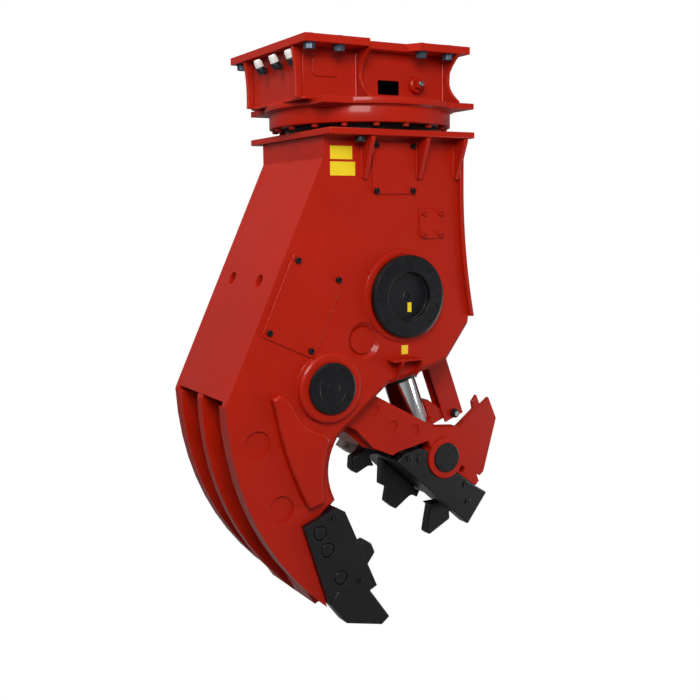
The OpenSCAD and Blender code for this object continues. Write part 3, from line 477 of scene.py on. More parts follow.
def measured(work: bmesh.types.BMesh) -> tuple[list, np.ndarray, np.ndarray]:
    """Every edge of a mesh with its middle in millimetres and its bend in degrees.

    Args:
        work: the mesh.

    Returns:
        Edges, middles and bends. An edge that isn't between two faces has a bend of 0.
    """
    edges = list(work.edges)
    ends = np.array([(*e.verts[0].co, *e.verts[1].co) for e in edges]).reshape(-1, 2, 3)
    bends = np.degrees([e.calc_face_angle(0.0) if len(e.link_faces) == 2 else 0.0 for e in edges])
    return edges, ends.mean(1) / MM, bends


def eased(
    node: str, coat: Coat, edge: float, segments: int = 2, cuts: Sequence[Cut] = (),
    covered: Sequence[Triple] = (),
) -> bpy.types.Object:
    """A copy of a CAD node with its edges rounded, which then stands for the node.

    Loose triangles are merged and flat ones joined, wide chamfers are cut where asked, and each edge
    bent more than ROUND_DEG becomes a rounded strip. Only the strips and the steps of curved walls
    are smooth. All other faces are flat, because a big one that is smooth shades in blotches.

    Args:
        node: name of the CAD node.
        coat: its finish.
        edge: size of the rounded edge in millimetres.
        segments: steps across the rounding.
        cuts: edges that get a wide chamfer first.
        covered: circles (x, z, radius) in the side view whose edges lie under a cover and stay sharp.

    Returns:
        The new piece.
    """
    mesh = frame["nodes"][node].data.copy()
    imported = mesh.attributes.get("custom_normal")
    if imported:
        mesh.attributes.remove(imported)
    work = bmesh.new()
    work.from_mesh(mesh)
    bmesh.ops.remove_doubles(work, verts=work.verts, dist=WELD_DIST)
    bmesh.ops.dissolve_limit(
        work, angle_limit=math.radians(FLAT_DEG), verts=work.verts, edges=work.edges,
        use_dissolve_boundaries=False,
    )
    for cut in cuts:
        edges, mids, bends = measured(work)
        inside = ((mids >= cut.low) & (mids <= cut.high)).all(1) & (bends > CUT_DEG)
        picked = [edges[k] for k in np.flatnonzero(inside)]
        if picked:
            bmesh.ops.bevel(
                work, geom=picked, offset=cut.width * MM, segments=1, affect="EDGES", clamp_overlap=False
            )
    edges, mids, bends = measured(work)
    for face in work.faces:
        face.smooth = False
    for k in np.flatnonzero((bends > STEP_DEG) & (bends <= ROUND_DEG)):
        for face in edges[k].link_faces:
            if face.calc_area() < edges[k].calc_length() * CURVED_STEP * MM:
                face.smooth = True
    wanted = bends > ROUND_DEG
    for x, z, radius in covered:
        wanted &= np.hypot(mids[:, 0] - x, mids[:, 2] - z) > radius
    strips = bmesh.ops.bevel(
        work, geom=[edges[k] for k in np.flatnonzero(wanted)], offset=edge * MM, segments=segments,
        profile=0.5, affect="EDGES", clamp_overlap=True, miter_outer="ARC",
    )
    for face in strips["faces"]:
        if face.calc_area() < max(border.calc_length() for border in face.edges) * edge * MM:
            face.smooth = True
    for border in work.edges:
        border.smooth = border.calc_face_angle(0.0) < math.radians(CREASE_DEG)
    work.to_mesh(mesh)
    work.free()
    piece = linked(f"{node}_dressed", mesh)
    return dress(piece, BODY_OF[node], coat, replaces=[node], smooth=False)


def ease_each(coat: Coat, segments: int = 2, **edges: float) -> None:
    """Rounds the edges of several CAD nodes that have one finish.

    Args:
        coat: their finish.
        segments: steps across each rounding.
        **edges: node to the size of its rounded edge in millimetres.
    """
    for node, edge in edges.items():
        eased(node, coat, edge, segments)


def bead(path: Sequence[Sequence[float]], radius: float, pitch: float, closed: bool = False) -> Shape:
    """A weld bead: a tube along a path whose radius ripples once a pitch.

    Radius = radius (1 + RIPPLE_SHARE |sin(pi s / pitch)|) at the distance s along the path.

    Args:
        path: corner points in millimetres.
        radius: radius of the bead.
        pitch: length of one ripple.
        closed: the path comes back to its start.

    Returns:
        Points and quads, with both ends drawn to a point.
    """
    corners = np.array(path, float)
    if closed:
        corners = np.vstack([corners, corners[:1]])
    runs = np.linalg.norm(np.diff(corners, axis=0), axis=1)
    reach = np.r_[0, np.cumsum(runs)]
    steps = max(int(reach[-1] / pitch * 2), 4)
    s = np.linspace(0, reach[-1], steps + 1)
    mid = np.stack([np.interp(s, reach, corners[:, k]) for k in range(3)], -1)
    along = np.gradient(mid, axis=0)
    no_zero = 1e-12
    along /= np.linalg.norm(along, axis=1, keepdims=True) + no_zero
    slanted = np.array([0.13, 0.31, 0.94])  # no bead runs this way
    across = np.cross(along, slanted)
    across /= np.linalg.norm(across, axis=1, keepdims=True) + no_zero
    third = np.cross(along, across)
    r = radius * (1 + RIPPLE_SHARE * np.abs(np.sin(math.pi * s / pitch)))
    if not closed:
        r[0] = r[-1] = 0.0
    turn = np.arange(BEAD_SIDES) / BEAD_SIDES * 2 * math.pi
    ring = across[:, None] * np.cos(turn)[None, :, None] + third[:, None] * np.sin(turn)[None, :, None]
    pts = mid[:, None] + ring * r[:, None, None]
    return pts.reshape(-1, 3), tube_faces(len(mid), BEAD_SIDES)


def circle_path(centre: Sequence[float], radius: float, axis: Sequence[float], count: int) -> np.ndarray:
    """Points of a circle about an axis, in millimetres.

    Args:
        centre: middle of the circle.
        radius: its radius.
        axis: direction that the circle is square to.
        count: number of points.

    Returns:
        One point a line.
    """
    turn = np.arange(count) / count * 2 * math.pi
    flat = np.stack([radius * np.cos(turn), radius * np.sin(turn), 0 * turn, 1 + 0 * turn], -1)
    return (flat @ facing(centre, axis).T)[:, :3]


def slab_box(low: Triple, high: Triple) -> Shape:
    """A flat rectangular piece.

    Args:
        low: its low corner in millimetres.
        high: its high corner.

    Returns:
        Points and quads.
    """
    (x0, y0, z0), (x1, y1, z1) = low, high
    pts = np.array([(x, y, z) for z in (z0, z1) for x, y in ((x0, y0), (x1, y0), (x1, y1), (x0, y1))], float)
    faces = [(3, 2, 1, 0), (4, 5, 6, 7), (0, 1, 5, 4), (1, 2, 6, 5), (2, 3, 7, 6), (3, 0, 4, 7)]
    return pts, np.array(faces)


def hex_bolt(across: float, tall: float, washer: float) -> Shape:
    """A six-sided head with a chamfered crown, on a round washer.

    Args:
        across: size over the corners.
        tall: height of the head.
        washer: thickness of the washer.

    Returns:
        Points and quads.
    """
    r = across / 2
    top = washer + tall
    rings = [
        (0, 0), (r * 1.12, 0), (r * 1.16, washer * 0.3), (r * 1.16, washer * 0.8), (r * 1.12, washer),
        (r, washer), (r, washer + tall * 0.86), (r * 0.93, top), (0, top),
    ]
    return turned(rings, 36, (5, 6))


def socket_screw(across: float, tall: float) -> Shape:
    """A round head with a rounded rim and a six-sided socket sunk in it.

    Args:
        across: diameter of the head.
        tall: height of the head.

    Returns:
        Points and quads.
    """
    r, key = across / 2, across * 0.27
    rings = [
        (0, 0), (r, 0), (r, tall * 0.8), (r * 0.97, tall * 0.93), (r * 0.9, tall),
        (key * 1.15, tall), (key, tall * 0.94), (key, tall * 0.35), (0, tall * 0.25),
    ]
    return turned(rings, 24, (6, 7))


class Side(Enum):
    """The two faces of the body, by the direction that they look in."""

    NEAR = -1.0
    FAR = 1.0


def on_side(x: float, z: float, out: float, side: Side, spin: float = 0.0) -> np.ndarray:
    """Frame at a place on one side of the body, with Z pointing away from it.

    Args:
        x: place along the body in millimetres.
        z: its height.
        out: distance from the middle plane.
        side: which side.
        spin: turn about the frame's Z in degrees.

    Returns:
        A 4 x 4 matrix.
    """
    return facing((x, side.value * out, z), (0, side.value, 0), spin)


def on_circle(centre: Pair, radius: float, degrees: float) -> Pair:
    """A place on a circle in the side view.

    Args:
        centre: x and z of its middle in millimetres.
        radius: its radius.
        degrees: turn from +X towards +Z.

    Returns:
        x and z of the place.
    """
    turn = math.radians(degrees)
    return centre[0] + radius * math.cos(turn), centre[1] + radius * math.sin(turn)


@dataclass
class MountHead:
    """Fixed head: mount plate, box, gussets, flange, drum and what is fitted to them.

    Sizes are in millimetres. A bead is given by its radius and ripple, a screw by its width and height.
    """

    bolts_back: float = 85.0
    bolt_x: tuple[float, ...] = (-335.0, -200.0, 200.0, 335.0)
    bolt_y: float = 325.0
    bolt_spin: float = 17.0
    plate_low: float = -31.0
    head_across: float = 48.0
    head_tall: float = 20.0
    washer: float = 5.0
    box_back: float = -413.0
    box_front: float = 293.0
    web: float = 250.0
    gusset_x: Pair = (-156.0, 285.0)
    gusset_t: float = 16.0
    flange_top: float = -235.0
    drum_r: float = 404.0
    drum_top: float = -260.0
    drum_foot: float = -331.0
    drum_bolt_r: float = 378.0
    drum_bolts: int = 18
    drum_screw: Pair = (28.0, 15.0)
    bead_short: float = 4.0
    gusset_bead: Pair = (8.0, 14.0)
    corner_bead: Pair = (7.0, 14.0)
    foot_bead: Pair = (6.0, 11.0)
    drum_bead: Pair = (5.0, 10.0)
    drum_bead_sunk: float = 1.0
    port_y: Triple = (-205.5, -58.0, 89.5)
    port_z: float = -88.0
    port_tilt: float = 24.0
    port_stem: float = 24.0
    cap_ribs: int = 18
    rib_r: float = 16.9
    rib_foot: float = 16.0
    plug_at: Pair = (132.0, -158.0)
    plug_spin: float = 10.0

    def build(self) -> None:
        """Makes every piece of the head."""
        ease_each(
            Coat.RED_ENAMEL, mount_plate=4.0, mount_box=3.0, mount_gussets=3.0, mount_cover=2.0,
            mount_flange=4.0, drum_housing=4.0,
        )
        eased("slew_motor", Coat.DARK_IRON, 3.0)
        self.mount_bolts()
        self.drum_screws()
        self.welds()
        self.ports()
        self.plug()

    def mount_bolts(self) -> None:
        """Hexagon bolts with washers under the mount plate, and their shanks in it."""
        head = hex_bolt(self.head_across, self.head_tall, self.washer)
        shank = turned([(0, 0), (18, 0), (18, 35), (16, 37), (0, 37)], 24)
        spots = [
            (self.bolt_spin * k, (x - self.bolts_back, y, self.plate_low))
            for y in (-self.bolt_y, self.bolt_y)
            for k, x in enumerate(self.bolt_x)
        ]
        made = Build("mount_bolt_heads", "adapter", Coat.ZINC)
        made.add(head, [facing(at, (0, 0, -1), spin) for spin, at in spots])
        made.add(shank, [facing(at, (0, 0, 1)) for _, at in spots])
        made.finish(replaces=["mount_bolts"])

    def drum_screws(self) -> None:
        """Screws round the drum, seen from below."""
        turns = (np.arange(self.drum_bolts) + 0.5) / self.drum_bolts * 2 * math.pi
        r = self.drum_bolt_r
        places = [
            facing((r * math.cos(t), r * math.sin(t), self.drum_foot), (0, 0, -1), math.degrees(t))
            for t in turns
        ]
        made = Build("drum_screws", "adapter", Coat.RED_ENAMEL).add(socket_screw(*self.drum_screw), places)
        made.finish(replaces=["drum_bolts"])

    def welds(self) -> None:
        """Beads where the gussets and the box meet the plates, and round the drum."""
        made = Build("head_welds", "adapter", Coat.RED_ENAMEL)
        foot = self.flange_top
        low, high = foot + self.bead_short, self.plate_low - self.bead_short
        for side in (-1, 1):
            web = side * self.web
            for x in self.gusset_x:
                for edge in (-1, 1):
                    at = x + edge * self.gusset_t / 2
                    made.add(bead([(at, web, low), (at, web, high)], *self.gusset_bead))
            y = side * (self.web - self.gusset_t)
            for x in (self.box_back, self.box_front):
                made.add(bead([(x, y, low), (x, y, high)], *self.corner_bead))
            made.add(bead([(self.box_back, web, foot), (self.box_front, web, foot)], *self.foot_bead))
        made.add(bead([(self.box_back, -self.web, foot), (self.box_back, self.web, foot)], *self.foot_bead))
        rim = circle_path((0, 0, self.drum_top - self.drum_bead_sunk), self.drum_r, (0, 0, 1), 120)
        made.add(bead(rim, *self.drum_bead, closed=True))
        made.finish(BEAD_DEG)

    def ports(self) -> None:
        """Hydraulic fittings on the back of the box, each closed by a white cap with grip ribs."""
        tilt = math.radians(self.port_tilt)
        lean = (-math.sin(tilt), 0.0, math.cos(tilt))
        collar = turned(
            [(0, -13), (17, -13), (19, -10), (19, -2), (15.5, 0), (15.5, 2), (19, 4), (19, 12), (16, 15),
             (0, 15)], 36, (1, 2, 3),
        )
        stem = turned([(0, 0), (13, 0), (13, self.port_stem), (0, self.port_stem)], 24)
        cap = turned([(0, 15), (16, 15), (17, 17), (17, 42), (15.5, 47), (12, 49), (0, 49)], 36)
        rib = turned([(0, 0), (1.2, 0), (1.2, 24), (0, 24)], 6)
        turns = np.arange(self.cap_ribs) / self.cap_ribs * 2 * math.pi
        r = self.rib_r
        ribs = [facing((r * math.cos(t), r * math.sin(t), self.rib_foot), (0, 0, 1)) for t in turns]
        collars = Build("port_collars_dressed", "adapter", Coat.DARK_IRON)
        caps = Build("port_caps_dressed", "adapter", Coat.WHITE_CAP)
        for y in self.port_y:
            place = facing((self.box_back - self.port_stem, y, self.port_z), lean)
            collars.add(collar, [place]).add(stem, [facing((self.box_back, y, self.port_z), (-1, 0, 0))])
            caps.add(cap, [place]).add(rib, [place @ at for at in ribs])
        collars.finish(replaces=["port_collars"])
        caps.finish(replaces=["port_caps"])

    def plug(self) -> None:
        """Red boss with a red nut and a steel tip in the near wall."""
        x, z = self.plug_at
        at = facing((x, -self.web, z), (0, -1, 0), self.plug_spin)
        boss = turned([(0, 0), (38, 0), (36, 10), (34, 22), (30, 25), (0, 25)], 36)
        nut = turned([(0, 24), (22, 24), (23, 26), (23, 42), (20, 46), (0, 46)], 36, (1, 2, 3, 4))
        tip = turned([(0, 45), (12, 45), (13, 47), (13, 54), (10, 57), (5, 57), (5, 50), (0, 50)], 24)
        Build("plug_boss", "adapter", Coat.RED_ENAMEL).add(boss, [at]).finish(replaces=["access_plug"])
        Build("plug_nut", "adapter", Coat.RED_ENAMEL).add(nut, [at]).finish()
        Build("plug_tip", "adapter", Coat.STEEL).add(tip, [at]).finish()


@dataclass
class BodyShell:
    """Welded body between the slew ring and the jaws."""

    rim_x: Pair = (-345.0, 420.0)
    rim_y: Pair = (280.0, 300.0)
    rim_z: Pair = (-1945.0, -1180.0)
    rim_cut: float = 24.0
    under_trunnion: Triple = (*TRUNNION, 100.0)
    under_boss: Triple = (*JAW_PIVOT, 90.0)
    cover_t: float = 8.0
    cover_lean: float = 24.94
    cover_screw: Pair = (25.0, 12.0)
    cover_spin: float = 20.0
    top_under: float = -387.0
    top_x: Pair = (-345.0, 330.0)
    top_bead: Pair = (6.0, 11.0)
    rib_x: Triple = (-152.0, 122.0, 318.0)
    rib_half: float = 10.0
    rib_down: Pair = (2.0, 172.0)
    rib_bead: Pair = (4.5, 9.0)

    def build(self) -> None:
        """Makes the plates, ribs and covers of the body."""
        red = Coat.RED_ENAMEL
        for node, side in (("near_side_plate", Side.NEAR), ("far_side_plate", Side.FAR)):
            y0, y1 = sorted(side.value * y for y in self.rim_y)
            rim = Cut((self.rim_x[0], y0, self.rim_z[0]), (self.rim_x[1], y1, self.rim_z[1]), self.rim_cut)
            eased(node, red, 4.0, cuts=[rim], covered=(self.under_trunnion, self.under_boss))
        eased("doublers", red, 3.0, covered=(self.under_boss,))
        ease_each(
            red, top_plate=4.0, back_plate=4.0, front_plate=4.0, top_ribs=3.0, side_covers=2.5,
            centre_fin=4.0, cross_beams=3.0,
        )
        eased("cheek_pads", red, 14.0, 4)
        eased("hose_brackets", red, 2.0)
        eased("top_plate_plug", Coat.DARK_IRON, 2.0)
        self.cover_screws()
        self.welds()

    def cover_screws(self) -> None:
        """Socket screws at the corners of the bolted covers: black, but red on the small cover."""
        black = Build("cover_screws", "body", Coat.BLACK_COVER)
        painted = Build("small_cover_screws", "body", Coat.RED_ENAMEL)
        head, lean = socket_screw(*self.cover_screw), math.radians(self.cover_lean)
        for side in Side:
            for cx, cz, half_x, half_z, turn, made in (
                (-5.0, -515.0, 92.0, 95.0, 0.0, black),
                (189.0, -752.0, 44.0, 46.5, 0.0, painted),
                (-448.0, -1080.0, 103.5, 159.5, lean, black),
            ):
                for sx, sz in ((-1, -1), (-1, 1), (1, -1), (1, 1)):
                    dx, dz = sx * half_x, sz * half_z
                    x = cx + dx * math.cos(turn) + dz * math.sin(turn)
                    z = cz - dx * math.sin(turn) + dz * math.cos(turn)
                    made.add(head, [on_side(x, z, BODY_FACE + self.cover_t, side, self.cover_spin * sx)])
        black.finish(replaces=["cover_bolts"])
        painted.finish()

    def welds(self) -> None:
        """Beads under the top plate and down both sides of each rib."""
        made = Build("body_welds", "body", Coat.RED_ENAMEL)
        for side in (-1, 1):
            y = side * BODY_FACE
            made.add(bead([(x, y, self.top_under) for x in self.top_x], *self.top_bead))
            for x in self.rib_x:
                for at in (x - self.rib_half, x + self.rib_half):
                    ends = [(at, y, self.top_under - down) for down in self.rib_down]
                    made.add(bead(ends, *self.rib_bead))
        made.finish(BEAD_DEG)


@dataclass
class PivotCovers:
    """Bosses, bezels, caps and screws of the two pivots of the body."""

    lid_top: float = 44.0
    lid_floor: float = 17.4
    screw_sunk: float = 0.2
    trunnion_screw_r: float = 152.0
    trunnion_turns: tuple[int, ...] = (0, 45, 90, 135, 180, 225, 270, 315, 162, 343)
    jaw_screw_r: float = 94.0
    jaw_turns: tuple[int, ...] = (30, 60, 90, 150, 210, 240, 270, 330)
    bar_off: Pair = (14.0, -48.0)
    small_mark_z: float = -1299.0
    plates: tuple[tuple[float, ...], ...] = (
        (-313.0, -208.0, -481.0, -427.0),
        (-314.0, -195.0, -548.0, -491.0),
    )
    film_t: float = 0.5
    boss_r: float = 150.0
    bezel_r: float = 201.0
    boss_bead: Pair = (5.0, 10.0)
    bezel_bead: Pair = (3.5, 10.0)

    def build(self) -> None:
        """Makes the turned pieces on both sides, with their marks, screws and welds."""
        self.marks()
        self.lids()
        self.screws()
        self.welds()

    def marks(self) -> None:
        """Plain film: a bar and a small mark on both sides, and two plates (x, x, z, z) on the near one."""
        made = Build("plain_marks", "body", Coat.YELLOW_FILM)
        bar = slab_box((-10, -21, 0), (10, 21, 0.6))
        small = slab_box((-17, -20, 0), (17, 20, self.film_t))
        bar_x, bar_z = TRUNNION[0] + self.bar_off[0], TRUNNION[1] + self.bar_off[1]
        for side in Side:
            made.add(bar, [on_side(bar_x, bar_z, BODY_FACE + self.lid_floor, side)])
            made.add(small, [on_side(TRUNNION[0], self.small_mark_z, BODY_FACE, side)])
        near = Side.NEAR.value * BODY_FACE
        for x0, x1, z0, z1 in self.plates:
            made.add(slab_box((x0, near - self.film_t, z0), (x1, near, z1)))
        made.finish()

    def lids(self) -> None:
        """Black lids, the bezel round the trunnion's and the boss under the jaw pin's."""
        lid = turned(
            [(0, 10), (177, 10), (179, 14), (179, 38), (176, 42), (170, 44), (112, 44), (108, 43.4),
             (105, 40), (104.5, 22.5), (101, 18.5), (97, 17.5), (19, 17.5), (16, 16.5), (15, 12), (0, 12)], 96,
        )
        bezel = turned([(0, 0), (201, 0), (201, 5), (198, 9), (193, 10), (183, 10), (181, 8.6), (0, 8.6)], 96)
        pin_lid = turned(
            [(0, 28), (108, 28), (110, 31), (110, 39), (107, 43), (103, 44), (66, 44), (63, 42.6),
             (30, 42.6), (28, 43.4), (0, 43.4)], 96,
        )
        boss = turned(
            [(0, 0), (150, 0), (150, 17), (146, 23), (138, 27.4), (134, 28), (116, 28), (114, 26.5),
             (0, 26.5)], 96,
        )
        for name, coat, shape, centre, node in (
            ("trunnion_lids", Coat.BLACK_COVER, lid, TRUNNION, "trunnion_caps"),
            ("trunnion_rings", Coat.RED_ENAMEL, bezel, TRUNNION, "trunnion_bezels"),
            ("jaw_pin_lids", Coat.BLACK_COVER, pin_lid, JAW_PIVOT, "jaw_pin_caps"),
            ("jaw_hubs", Coat.RED_ENAMEL, boss, JAW_PIVOT, "jaw_bosses"),
        ):
            places = [on_side(*centre, BODY_FACE, side) for side in Side]
            Build(name, "body", coat).add(shape, places).finish(LID_DEG, [node])

    def screws(self) -> None:
        """Small socket screws sunk a little into both lids."""
        made = Build("cap_screws", "body", Coat.BLACK_COVER)
        screw = turned([(0, 0), (9, 0), (9, 2), (8, 3), (4.4, 3), (4, 1), (0, 1)], 24, (4, 5))
        out = BODY_FACE + self.lid_top - self.screw_sunk
        for side in Side:
            for centre, radius, turns in (
                (TRUNNION, self.trunnion_screw_r, self.trunnion_turns),
                (JAW_PIVOT, self.jaw_screw_r, self.jaw_turns),
            ):
                made.add(screw, [on_side(*on_circle(centre, radius, t), out, side, t) for t in turns])
        made.finish(replaces=["cap_bolts"])

    def welds(self) -> None:
        """Beads round the bosses and the bezels."""
        made = Build("pivot_welds", "body", Coat.RED_ENAMEL)
        for side in Side:
            y = side.value * BODY_FACE
            for (x, z), radius, size in (
                (JAW_PIVOT, self.boss_r, self.boss_bead),
                (TRUNNION, self.bezel_r, self.bezel_bead),
            ):
                made.add(bead(circle_path((x, y, z), radius, (0, 1, 0), 96), *size, closed=True))
        made.finish(BEAD_DEG)


@dataclass
class FixedJaw:
    """Black wear parts of the fixed jaw."""

    shoe_face: float = 320.0
    bolts_at: tuple[Pair, ...] = ((-332.0, -1993.0), (-207.0, -2297.0))
    bolt: Pair = (26.0, 8.0)
    bolt_spin: float = 15.0

    def build(self) -> None:
        """Makes the shoes, plugs, teeth, tips and their screws."""
        black = Coat.BLACK_FORGED
        eased("side_shoes", black, 5.0, 3)
        eased("shoe_plugs", black, 3.0)
        ease_each(black, 3, shoe_teeth=6.0, tip_teeth=5.0)
        places = [
            on_side(x, z, self.shoe_face, side, self.bolt_spin) for side in Side for x, z in self.bolts_at
        ]
        made = Build("shoe_screws", "body", black).add(socket_screw(*self.bolt), places)
        made.finish(replaces=["shoe_bolts"])


@dataclass
class LiftCylinder:
    """Cylinder that closes the jaw, with its rod, clamp and guard."""

    lean: Pair = (0.342328, -0.939581)
    bolt_along: float = 725.77
    bolt_off: float = 214.0
    bolt_spin: float = 12.0
    guard_half: float = 36.0

    def guard_screw(self) -> None:
        """Black collar on the guard with a small steel hexagon in it."""
        run, off = np.array(self.lean), np.array((-self.lean[1], self.lean[0]))
        x, z = np.array(TRUNNION) + run * self.bolt_along + off * self.bolt_off
        at = [facing((x, -self.guard_half, z), (0, -1, 0), self.bolt_spin)]
        collar = turned([(0, 0), (22, 0), (22, 14), (20.5, 17), (18, 18), (0, 18)], 36)
        head = turned([(0, 17), (13, 17), (13, 24.6), (11.6, 26), (0, 26)], 36, (1, 2))
        Build("guard_collar", "rod", Coat.BLACK_COVER).add(collar, at).finish(replaces=["guard_bolt"])
        Build("guard_hexagon", "rod", Coat.STEEL).add(head, at).finish()

    def build(self) -> None:
        """Makes the barrel, gland, rod, clamp, guard and bolt."""
        eased("barrel", Coat.RED_ENAMEL, 3.0)
        eased("gland", Coat.DARK_IRON, 2.0)
        eased("piston_rod", Coat.CHROME, 2.0)
        ease_each(Coat.RED_ENAMEL, rod_clamp=3.0, rod_guard=3.0)
        self.guard_screw()


@dataclass
class MovingJaw:
    """Moving jaw with its blades and teeth."""

    pin: Pair = (330.0, -1837.0)
    face: float = 205.0
    bolts_at: tuple[Pair, ...] = ((124.0, -1817.0), (443.0, -1983.0), (457.0, -2070.0))
    bolt: Pair = (28.0, 6.0)
    bolt_spin: float = 15.0
    plug_at: Pair = (192.0, -1828.0)
    lid_screw_r: float = 50.0
    lid_screw_out: float = 12.8
    lid_turns: tuple[int, ...] = (45, 135, 225, 315)

    def build(self) -> None:
        """Makes the frame, tail, holders, teeth and pin covers."""
        black = Coat.BLACK_FORGED
        ease_each(Coat.RED_ENAMEL, jaw_frame=4.0, tail_plate=3.0, tail_fins=3.0)
        ease_each(black, 3, blade_holders=5.0, tooth_base=5.0, jaw_teeth=7.0)
        eased("cutter_block", Coat.GROUND, 3.0)
        places = [on_side(x, z, self.face, Side.NEAR, self.bolt_spin) for x, z in self.bolts_at]
        plug = [on_side(*self.plug_at, self.face, Side.NEAR)]
        disc = turned([(0, 0), (23, 0), (23, 3.6), (21, 6), (12, 6), (11, 4.5), (0, 4.5)], 48)
        made = Build("holder_screws", "jaw", black).add(socket_screw(*self.bolt), places).add(disc, plug)
        made.finish(replaces=["holder_bolts"])
        self.pin_lids()

    def pin_lids(self) -> None:
        """Black lids over the rod pin, each with four small socket screws."""
        lid = turned(
            [(0, 0), (69, 0), (69.5, 2), (69.5, 9), (67, 12.4), (64, 13), (22, 13), (20, 11.8), (0, 11.8)], 72
        )
        screw = turned([(0, 0), (6, 0), (6, 1.5), (5, 2.4), (2.8, 2.4), (2.6, 1), (0, 1)], 18, (4, 5))
        lids = Build("rod_pin_lids", "jaw", Coat.BLACK_COVER)
        screws = Build("rod_pin_screws", "jaw", Coat.BLACK_COVER)
        out = self.face + self.lid_screw_out
        for side in Side:
            lids.add(lid, [on_side(*self.pin, self.face, side)])
            spots = [on_circle(self.pin, self.lid_screw_r, t) for t in self.lid_turns]
            screws.add(screw, [on_side(x, z, out, side) for x, z in spots])
        lids.finish(LID_DEG, ["rod_pin_caps"])
        screws.finish()


def paint_bare_nodes(hidden: set[str]) -> None:
    """Gives every CAD node that still shows the finish of its slot.

    Args:
        hidden: nodes that dressed pieces stand for.
    """
    slots = {part["node"]: part["material_slot"] for part in frame["record"]["subparts"]}
    coats = {coat.value.slot: coat for coat in reversed(Coat)}
    # The two bearing rings get the darkened steel: painted shade of the gap under the drum, on top of their
    # grease.
    shaded_races = ("outer_race", "inner_race")
    for node, obj in frame["nodes"].items():
        if node in hidden:
            continue
        obj.data.materials.clear()
        obj.data.materials.append((Coat.GREASED if node in shaded_races else coats[slots[node]]).material)
        log.info("%s keeps its solid", node)


@dataclass(frozen=True)
class Lamp:
    """A soft rectangular lamp: place, size and aim in metres, and power in watts."""

    name: str
    place: Triple
    size: Pair
    power: float
    aim: Triple = (0.0, 0.0, -1.2)

    def build(self) -> None:
        """Adds the lamp to the scene."""
        data = bpy.data.lights.new(self.name, "AREA")
        data.shape, data.size, data.size_y, data.energy = "RECTANGLE", *self.size, self.power
        made = linked(self.name, data)
        made.location = self.place
        made.rotation_mode = "QUATERNION"
        made.rotation_quaternion = (Vector(self.aim) - Vector(self.place)).to_track_quat("-Z", "Y")


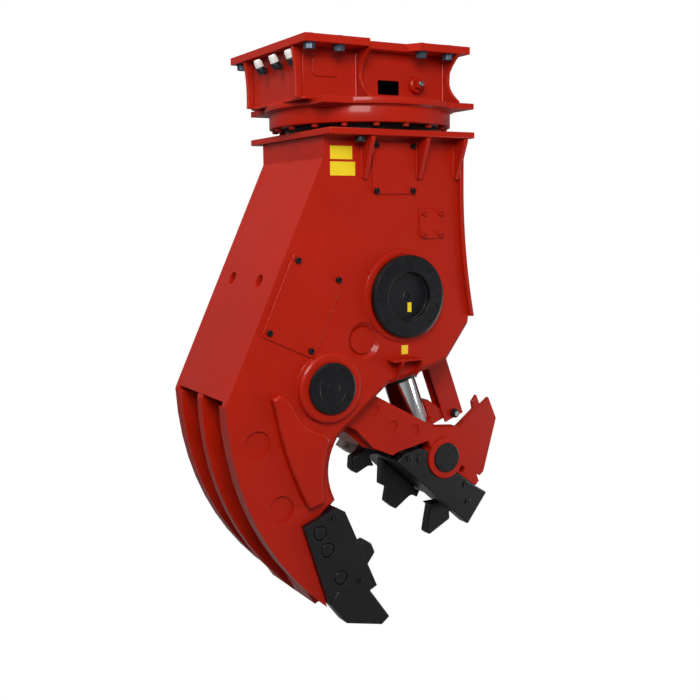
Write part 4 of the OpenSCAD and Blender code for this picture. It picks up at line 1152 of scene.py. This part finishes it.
@dataclass
class Studio:
    """Camera, lamps, floor and backdrop.

    The camera's place and the floor's height are in millimetres. The glow of the floor is given near
    the object and far from it, each by a distance in metres and a brightness.
    """

    place: Triple = (-2331.0, -3945.0, -722.0)
    yaw: float = 29.9
    pitch: float = -7.53
    roll: float = -0.66
    lens: float = 51.43
    sensor: float = 36.0
    clip: Pair = (0.1, 100.0)
    floor_z: float = -2760.0
    floor_reach: float = 30.0
    floor_tone: tuple[float, ...] = (0.25, 0.25, 0.25, 1.0)
    glow: tuple[Pair, Pair] = ((0.6, 0.86), (2.6, 1.0))
    room_light: float = 0.17
    lamps: tuple[Lamp, ...] = (
        Lamp("key", (-2.4, -4.2, 1.3), (2.2, 2.2), 212.0),
        Lamp("side", (3.6, -2.0, -2.2), (1.6, 1.6), 50.0, (0.0, 0.0, -1.7)),
        Lamp("back", (-2.6, 0.7, 3.0), (2.0, 2.4), 125.0),
        Lamp("top", (0.3, -0.6, 2.8), (3.0, 3.0), 45.0),
    )

    def camera(self) -> None:
        """Sets the camera that matches the photograph's angle."""
        yaw, pitch, roll = (math.radians(v) for v in (self.yaw, self.pitch, self.roll))
        ahead = np.array([math.sin(yaw) * math.cos(pitch), math.cos(yaw) * math.cos(pitch), math.sin(pitch)])
        level = np.array([math.cos(yaw), -math.sin(yaw), 0.0])
        upright = np.cross(level, ahead)
        data = bpy.data.cameras.new("camera")
        data.lens, data.sensor_width = self.lens, self.sensor
        data.clip_start, data.clip_end = self.clip
        cam = linked("camera", data)
        pose = np.eye(4)
        pose[:3, 0] = math.cos(roll) * level + math.sin(roll) * upright
        pose[:3, 1] = -math.sin(roll) * level + math.cos(roll) * upright
        pose[:3, 2] = -ahead
        pose[:3, 3] = np.array(self.place) * MM
        cam.matrix_world = Matrix(pose.tolist())
        bpy.context.scene.camera = cam

    def floor(self) -> None:
        """A pale floor that the camera sees nearly white, but that still takes the shadow."""
        mesh = bpy.data.meshes.new("floor")
        reach, z = self.floor_reach, self.floor_z * MM
        corners = [(-reach, -reach, z), (reach, -reach, z), (reach, reach, z), (-reach, reach, z)]
        mesh.from_pydata(corners, [], [(0, 1, 2, 3)])
        obj = linked("floor", mesh)
        made = bpy.data.materials.new("studio_floor")
        made.use_nodes = True
        tree = made.node_tree
        tree.nodes.clear()
        white = add_node(tree, "ShaderNodeEmission", {"Color": WHITE, "Strength": 1.0})
        matt = add_node(tree, "ShaderNodeBsdfDiffuse", {"Color": self.floor_tone})
        where = add_node(tree, "ShaderNodeTexCoord").outputs["Object"]
        away = add_node(tree, "ShaderNodeVectorMath", {0: where}, operation="LENGTH")
        (near, dim), (far, bright) = self.glow
        fade = {"From Min": near, "From Max": far, "To Min": dim, "To Max": bright}
        glow = add_node(tree, "ShaderNodeMapRange", {"Value": away.outputs["Value"], **fade})
        seen = {0: backdrop_share(tree), 1: glow.outputs["Result"]}
        share = add_node(tree, "ShaderNodeMath", seen, operation="MULTIPLY")
        both = add_node(
            tree, "ShaderNodeMixShader", {0: share.outputs[0], 1: matt.outputs[0], 2: white.outputs[0]}
        )
        add_node(tree, "ShaderNodeOutputMaterial", {"Surface": both.outputs[0]})
        mesh.materials.append(made)

    def world(self) -> None:
        """White background for the camera, and a grey studio for everything else."""
        world = bpy.data.worlds.new("studio")
        bpy.context.scene.world = world
        world.use_nodes = True
        tree = world.node_tree
        tree.nodes.clear()
        light = add_node(tree, "ShaderNodeBackground", {"Color": WHITE, "Strength": self.room_light})
        white = add_node(tree, "ShaderNodeBackground", {"Color": WHITE, "Strength": 1.0})
        both = add_node(
            tree, "ShaderNodeMixShader", {0: backdrop_share(tree), 1: light.outputs[0], 2: white.outputs[0]}
        )
        add_node(tree, "ShaderNodeOutputWorld", {"Surface": both.outputs[0]})

    def build(self) -> None:
        """Makes the whole studio."""
        self.camera()
        self.floor()
        self.world()
        for lamp in self.lamps:
            lamp.build()
        bpy.context.scene.view_settings.view_transform = "Standard"


def main() -> None:
    """Builds the studio and then each sub-assembly."""
    logging.basicConfig(level=logging.INFO, format="%(name)s: %(message)s")
    Studio().build()
    for part in (MountHead(), BodyShell(), PivotCovers(), FixedJaw(), LiftCylinder(), MovingJaw()):
        part.build()
        log.info("%s is built", type(part).__name__)
    paint_bare_nodes({n for n, o in frame["nodes"].items() if o.hide_render})


if __name__ == "__main__":
    main()
